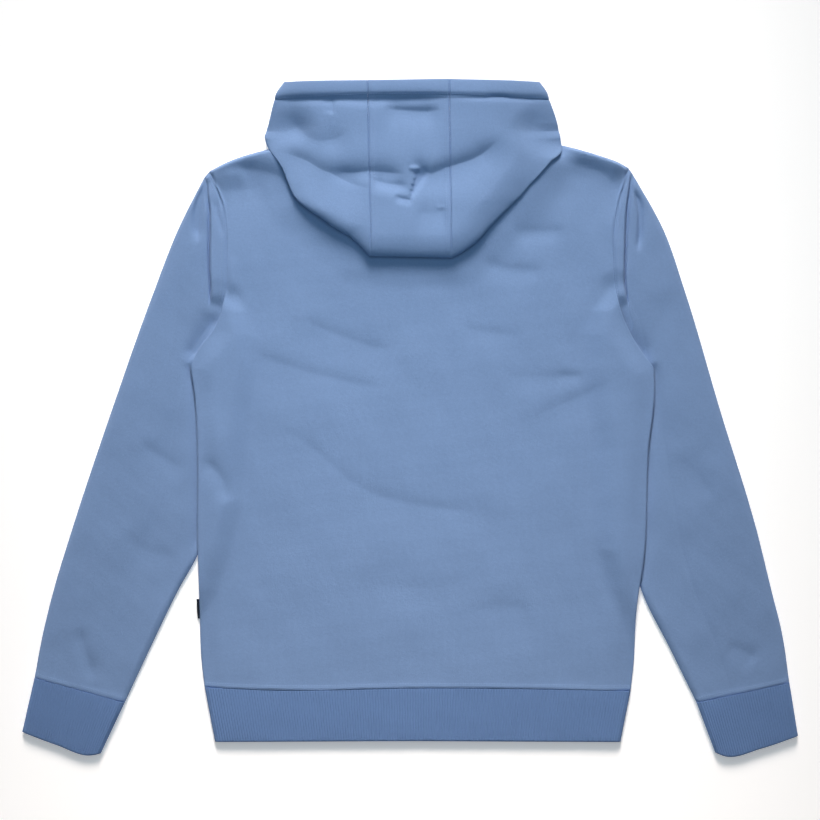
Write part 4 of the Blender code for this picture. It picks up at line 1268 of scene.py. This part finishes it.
class SWEATSHIRT_OT_stitching(bpy.types.Operator):
    """Sew the twin rows of stitches along the seams; the cloth has to be made first"""

    bl_idname = "sweatshirt.stitching"
    bl_label = "Stitching"

    def execute(self, context):
        shares = np.linspace(0, 1, 200)
        for which, side in SIDES.items():
            seam, way, _ = sleeve_head(side, shares * ARMHOLE_STITCHED)
            lines = [(seam + way * row)[4:] for row in ROWS_OF_STITCHES]
            stitches(f"armhole_{which}_stitching", lines, [f"sleeve_{which}_cloth"])
            top, foot = np.array(side.outer_edge[-1]), np.array(side.inner_edge[-1])
            run = blend(top, foot, np.linspace(0.02, 0.98, 80)[:, None])
            up = unit(np.array([-(foot - top)[1], (foot - top)[0]])) * side.out
            up = up if up[1] > 0 else -up
            lines = [run + up * row for row in ROWS_OF_STITCHES]
            stitches(f"cuff_{which}_stitching", lines, [f"sleeve_{which}_cloth"])
        hem = along(HEM_SEAM, np.linspace(0.004, 0.996, 200))
        stitches("hem_stitching", [hem + [0, row + SEAM] for row in ROWS_OF_STITCHES], ["back_cloth"])
        y = np.linspace(368, 200, 160)
        lines = []
        for row in ROWS_OF_STITCHES:
            lines.append(np.column_stack([seam_x("left", y) + row + SEAM, y]))
            lines.append(np.column_stack([seam_x("right", y) - row - SEAM, y]))
        stitches("hood_seam_stitching", lines, ["hood_centre_cloth"])
        x = np.linspace(-150, 158, 260)
        row = np.interp(x, *np.transpose(CASING_STITCHES))
        cloths = ["hood_left_cloth", "hood_centre_cloth", "hood_right_cloth"]
        stitches("casing_stitching", [np.column_stack([x, row + 0.6])], cloths)
        return {"FINISHED"}


class SWEATSHIRT_OT_stage(bpy.types.Operator):
    """Lay the pale floor and set the lights and the camera above it"""

    bl_idname = "sweatshirt.stage"
    bl_label = "Stage"

    def execute(self, context):
        mesh = bpy.data.meshes.new("floor")
        corners = [(x * FLOOR_HALF, y * FLOOR_HALF, 0) for x, y in ((-1, -1), (1, -1), (1, 1), (-1, 1))]
        mesh.from_pydata(corners, [], [[0, 1, 2, 3]])
        mesh.materials.append(plain("floor_paper", FLOOR_COLOUR, 0.9, FLOOR_GLOW))
        floor = add_object("floor", mesh)
        floor.location.z = -FLOOR_BELOW
        context.scene.view_settings.view_transform = "Standard"
        for name, place, toward, size, spread, colour, power in LIGHTS:
            lamp = bpy.data.lights.new(name, "AREA")
            lamp.shape = "RECTANGLE"
            lamp.size, lamp.size_y = size
            lamp.spread = math.radians(spread)
            lamp.color = colour
            lamp.energy = power
            light = add_object(name, lamp)
            light.location = place
            light.rotation_euler = (Vector(place) - Vector(toward)).to_track_quat("Z", "Y").to_euler()
        world = context.scene.world or bpy.data.worlds.new("studio")
        context.scene.world = world
        world.use_nodes = True
        back = world.node_tree.nodes["Background"]
        back.inputs["Color"].default_value = (*WORLD_COLOUR, 1)
        back.inputs["Strength"].default_value = WORLD_LIGHT
        lens = bpy.data.cameras.new("camera")
        lens.lens = LENS
        lens.sensor_width = SENSOR
        lens.clip_end = 50
        camera = add_object("camera", lens)
        height = VIEW_WIDTH * LENS / SENSOR + VIEW_LEVEL
        camera.location = (VIEW_CENTRE[0] * MM, VIEW_CENTRE[1] * MM, height * MM)
        camera.rotation_euler = (0, 0, 0)
        context.scene.camera = camera
        return {"FINISHED"}


class SWEATSHIRT_PT_panel(bpy.types.Panel):
    """Lists the sweatshirt's pieces, sizes and colours"""

    bl_idname = "SWEATSHIRT_PT_panel"
    bl_label = "Hooded sweatshirt"
    bl_space_type = "VIEW_3D"
    bl_region_type = "UI"
    bl_category = "Sweatshirt"

    def draw(self, context):
        layout = self.layout
        for settings in (context.scene.sweatshirt_cut, context.scene.sweatshirt_dyes):
            box = layout.box()
            for name in settings.__annotations__:
                box.prop(settings, name)
        for operator in OPERATORS:
            layout.operator(operator.bl_idname)


OPERATORS = (
    SWEATSHIRT_OT_body,
    SWEATSHIRT_OT_sleeves,
    SWEATSHIRT_OT_ribs,
    SWEATSHIRT_OT_hood,
    SWEATSHIRT_OT_tab,
    SWEATSHIRT_OT_stitching,
    SWEATSHIRT_OT_stage,
)
CLASSES = (CutSizes, Dyes, *OPERATORS, SWEATSHIRT_PT_panel)


def register():
    """Adds the classes and the scene's settings."""
    for item in CLASSES:
        bpy.utils.register_class(item)
    bpy.types.Scene.sweatshirt_cut = PointerProperty(type=CutSizes)
    bpy.types.Scene.sweatshirt_dyes = PointerProperty(type=Dyes)


def unregister():
    """Takes away what register adds."""
    del bpy.types.Scene.sweatshirt_dyes
    del bpy.types.Scene.sweatshirt_cut
    for item in reversed(CLASSES):
        bpy.utils.unregister_class(item)


def main():
    """Makes every piece and the stage."""
    register()
    for operator in OPERATORS:
        group, name = operator.bl_idname.split(".")
        getattr(getattr(bpy.ops, group), name)()


if __name__ == "__main__":
    main()
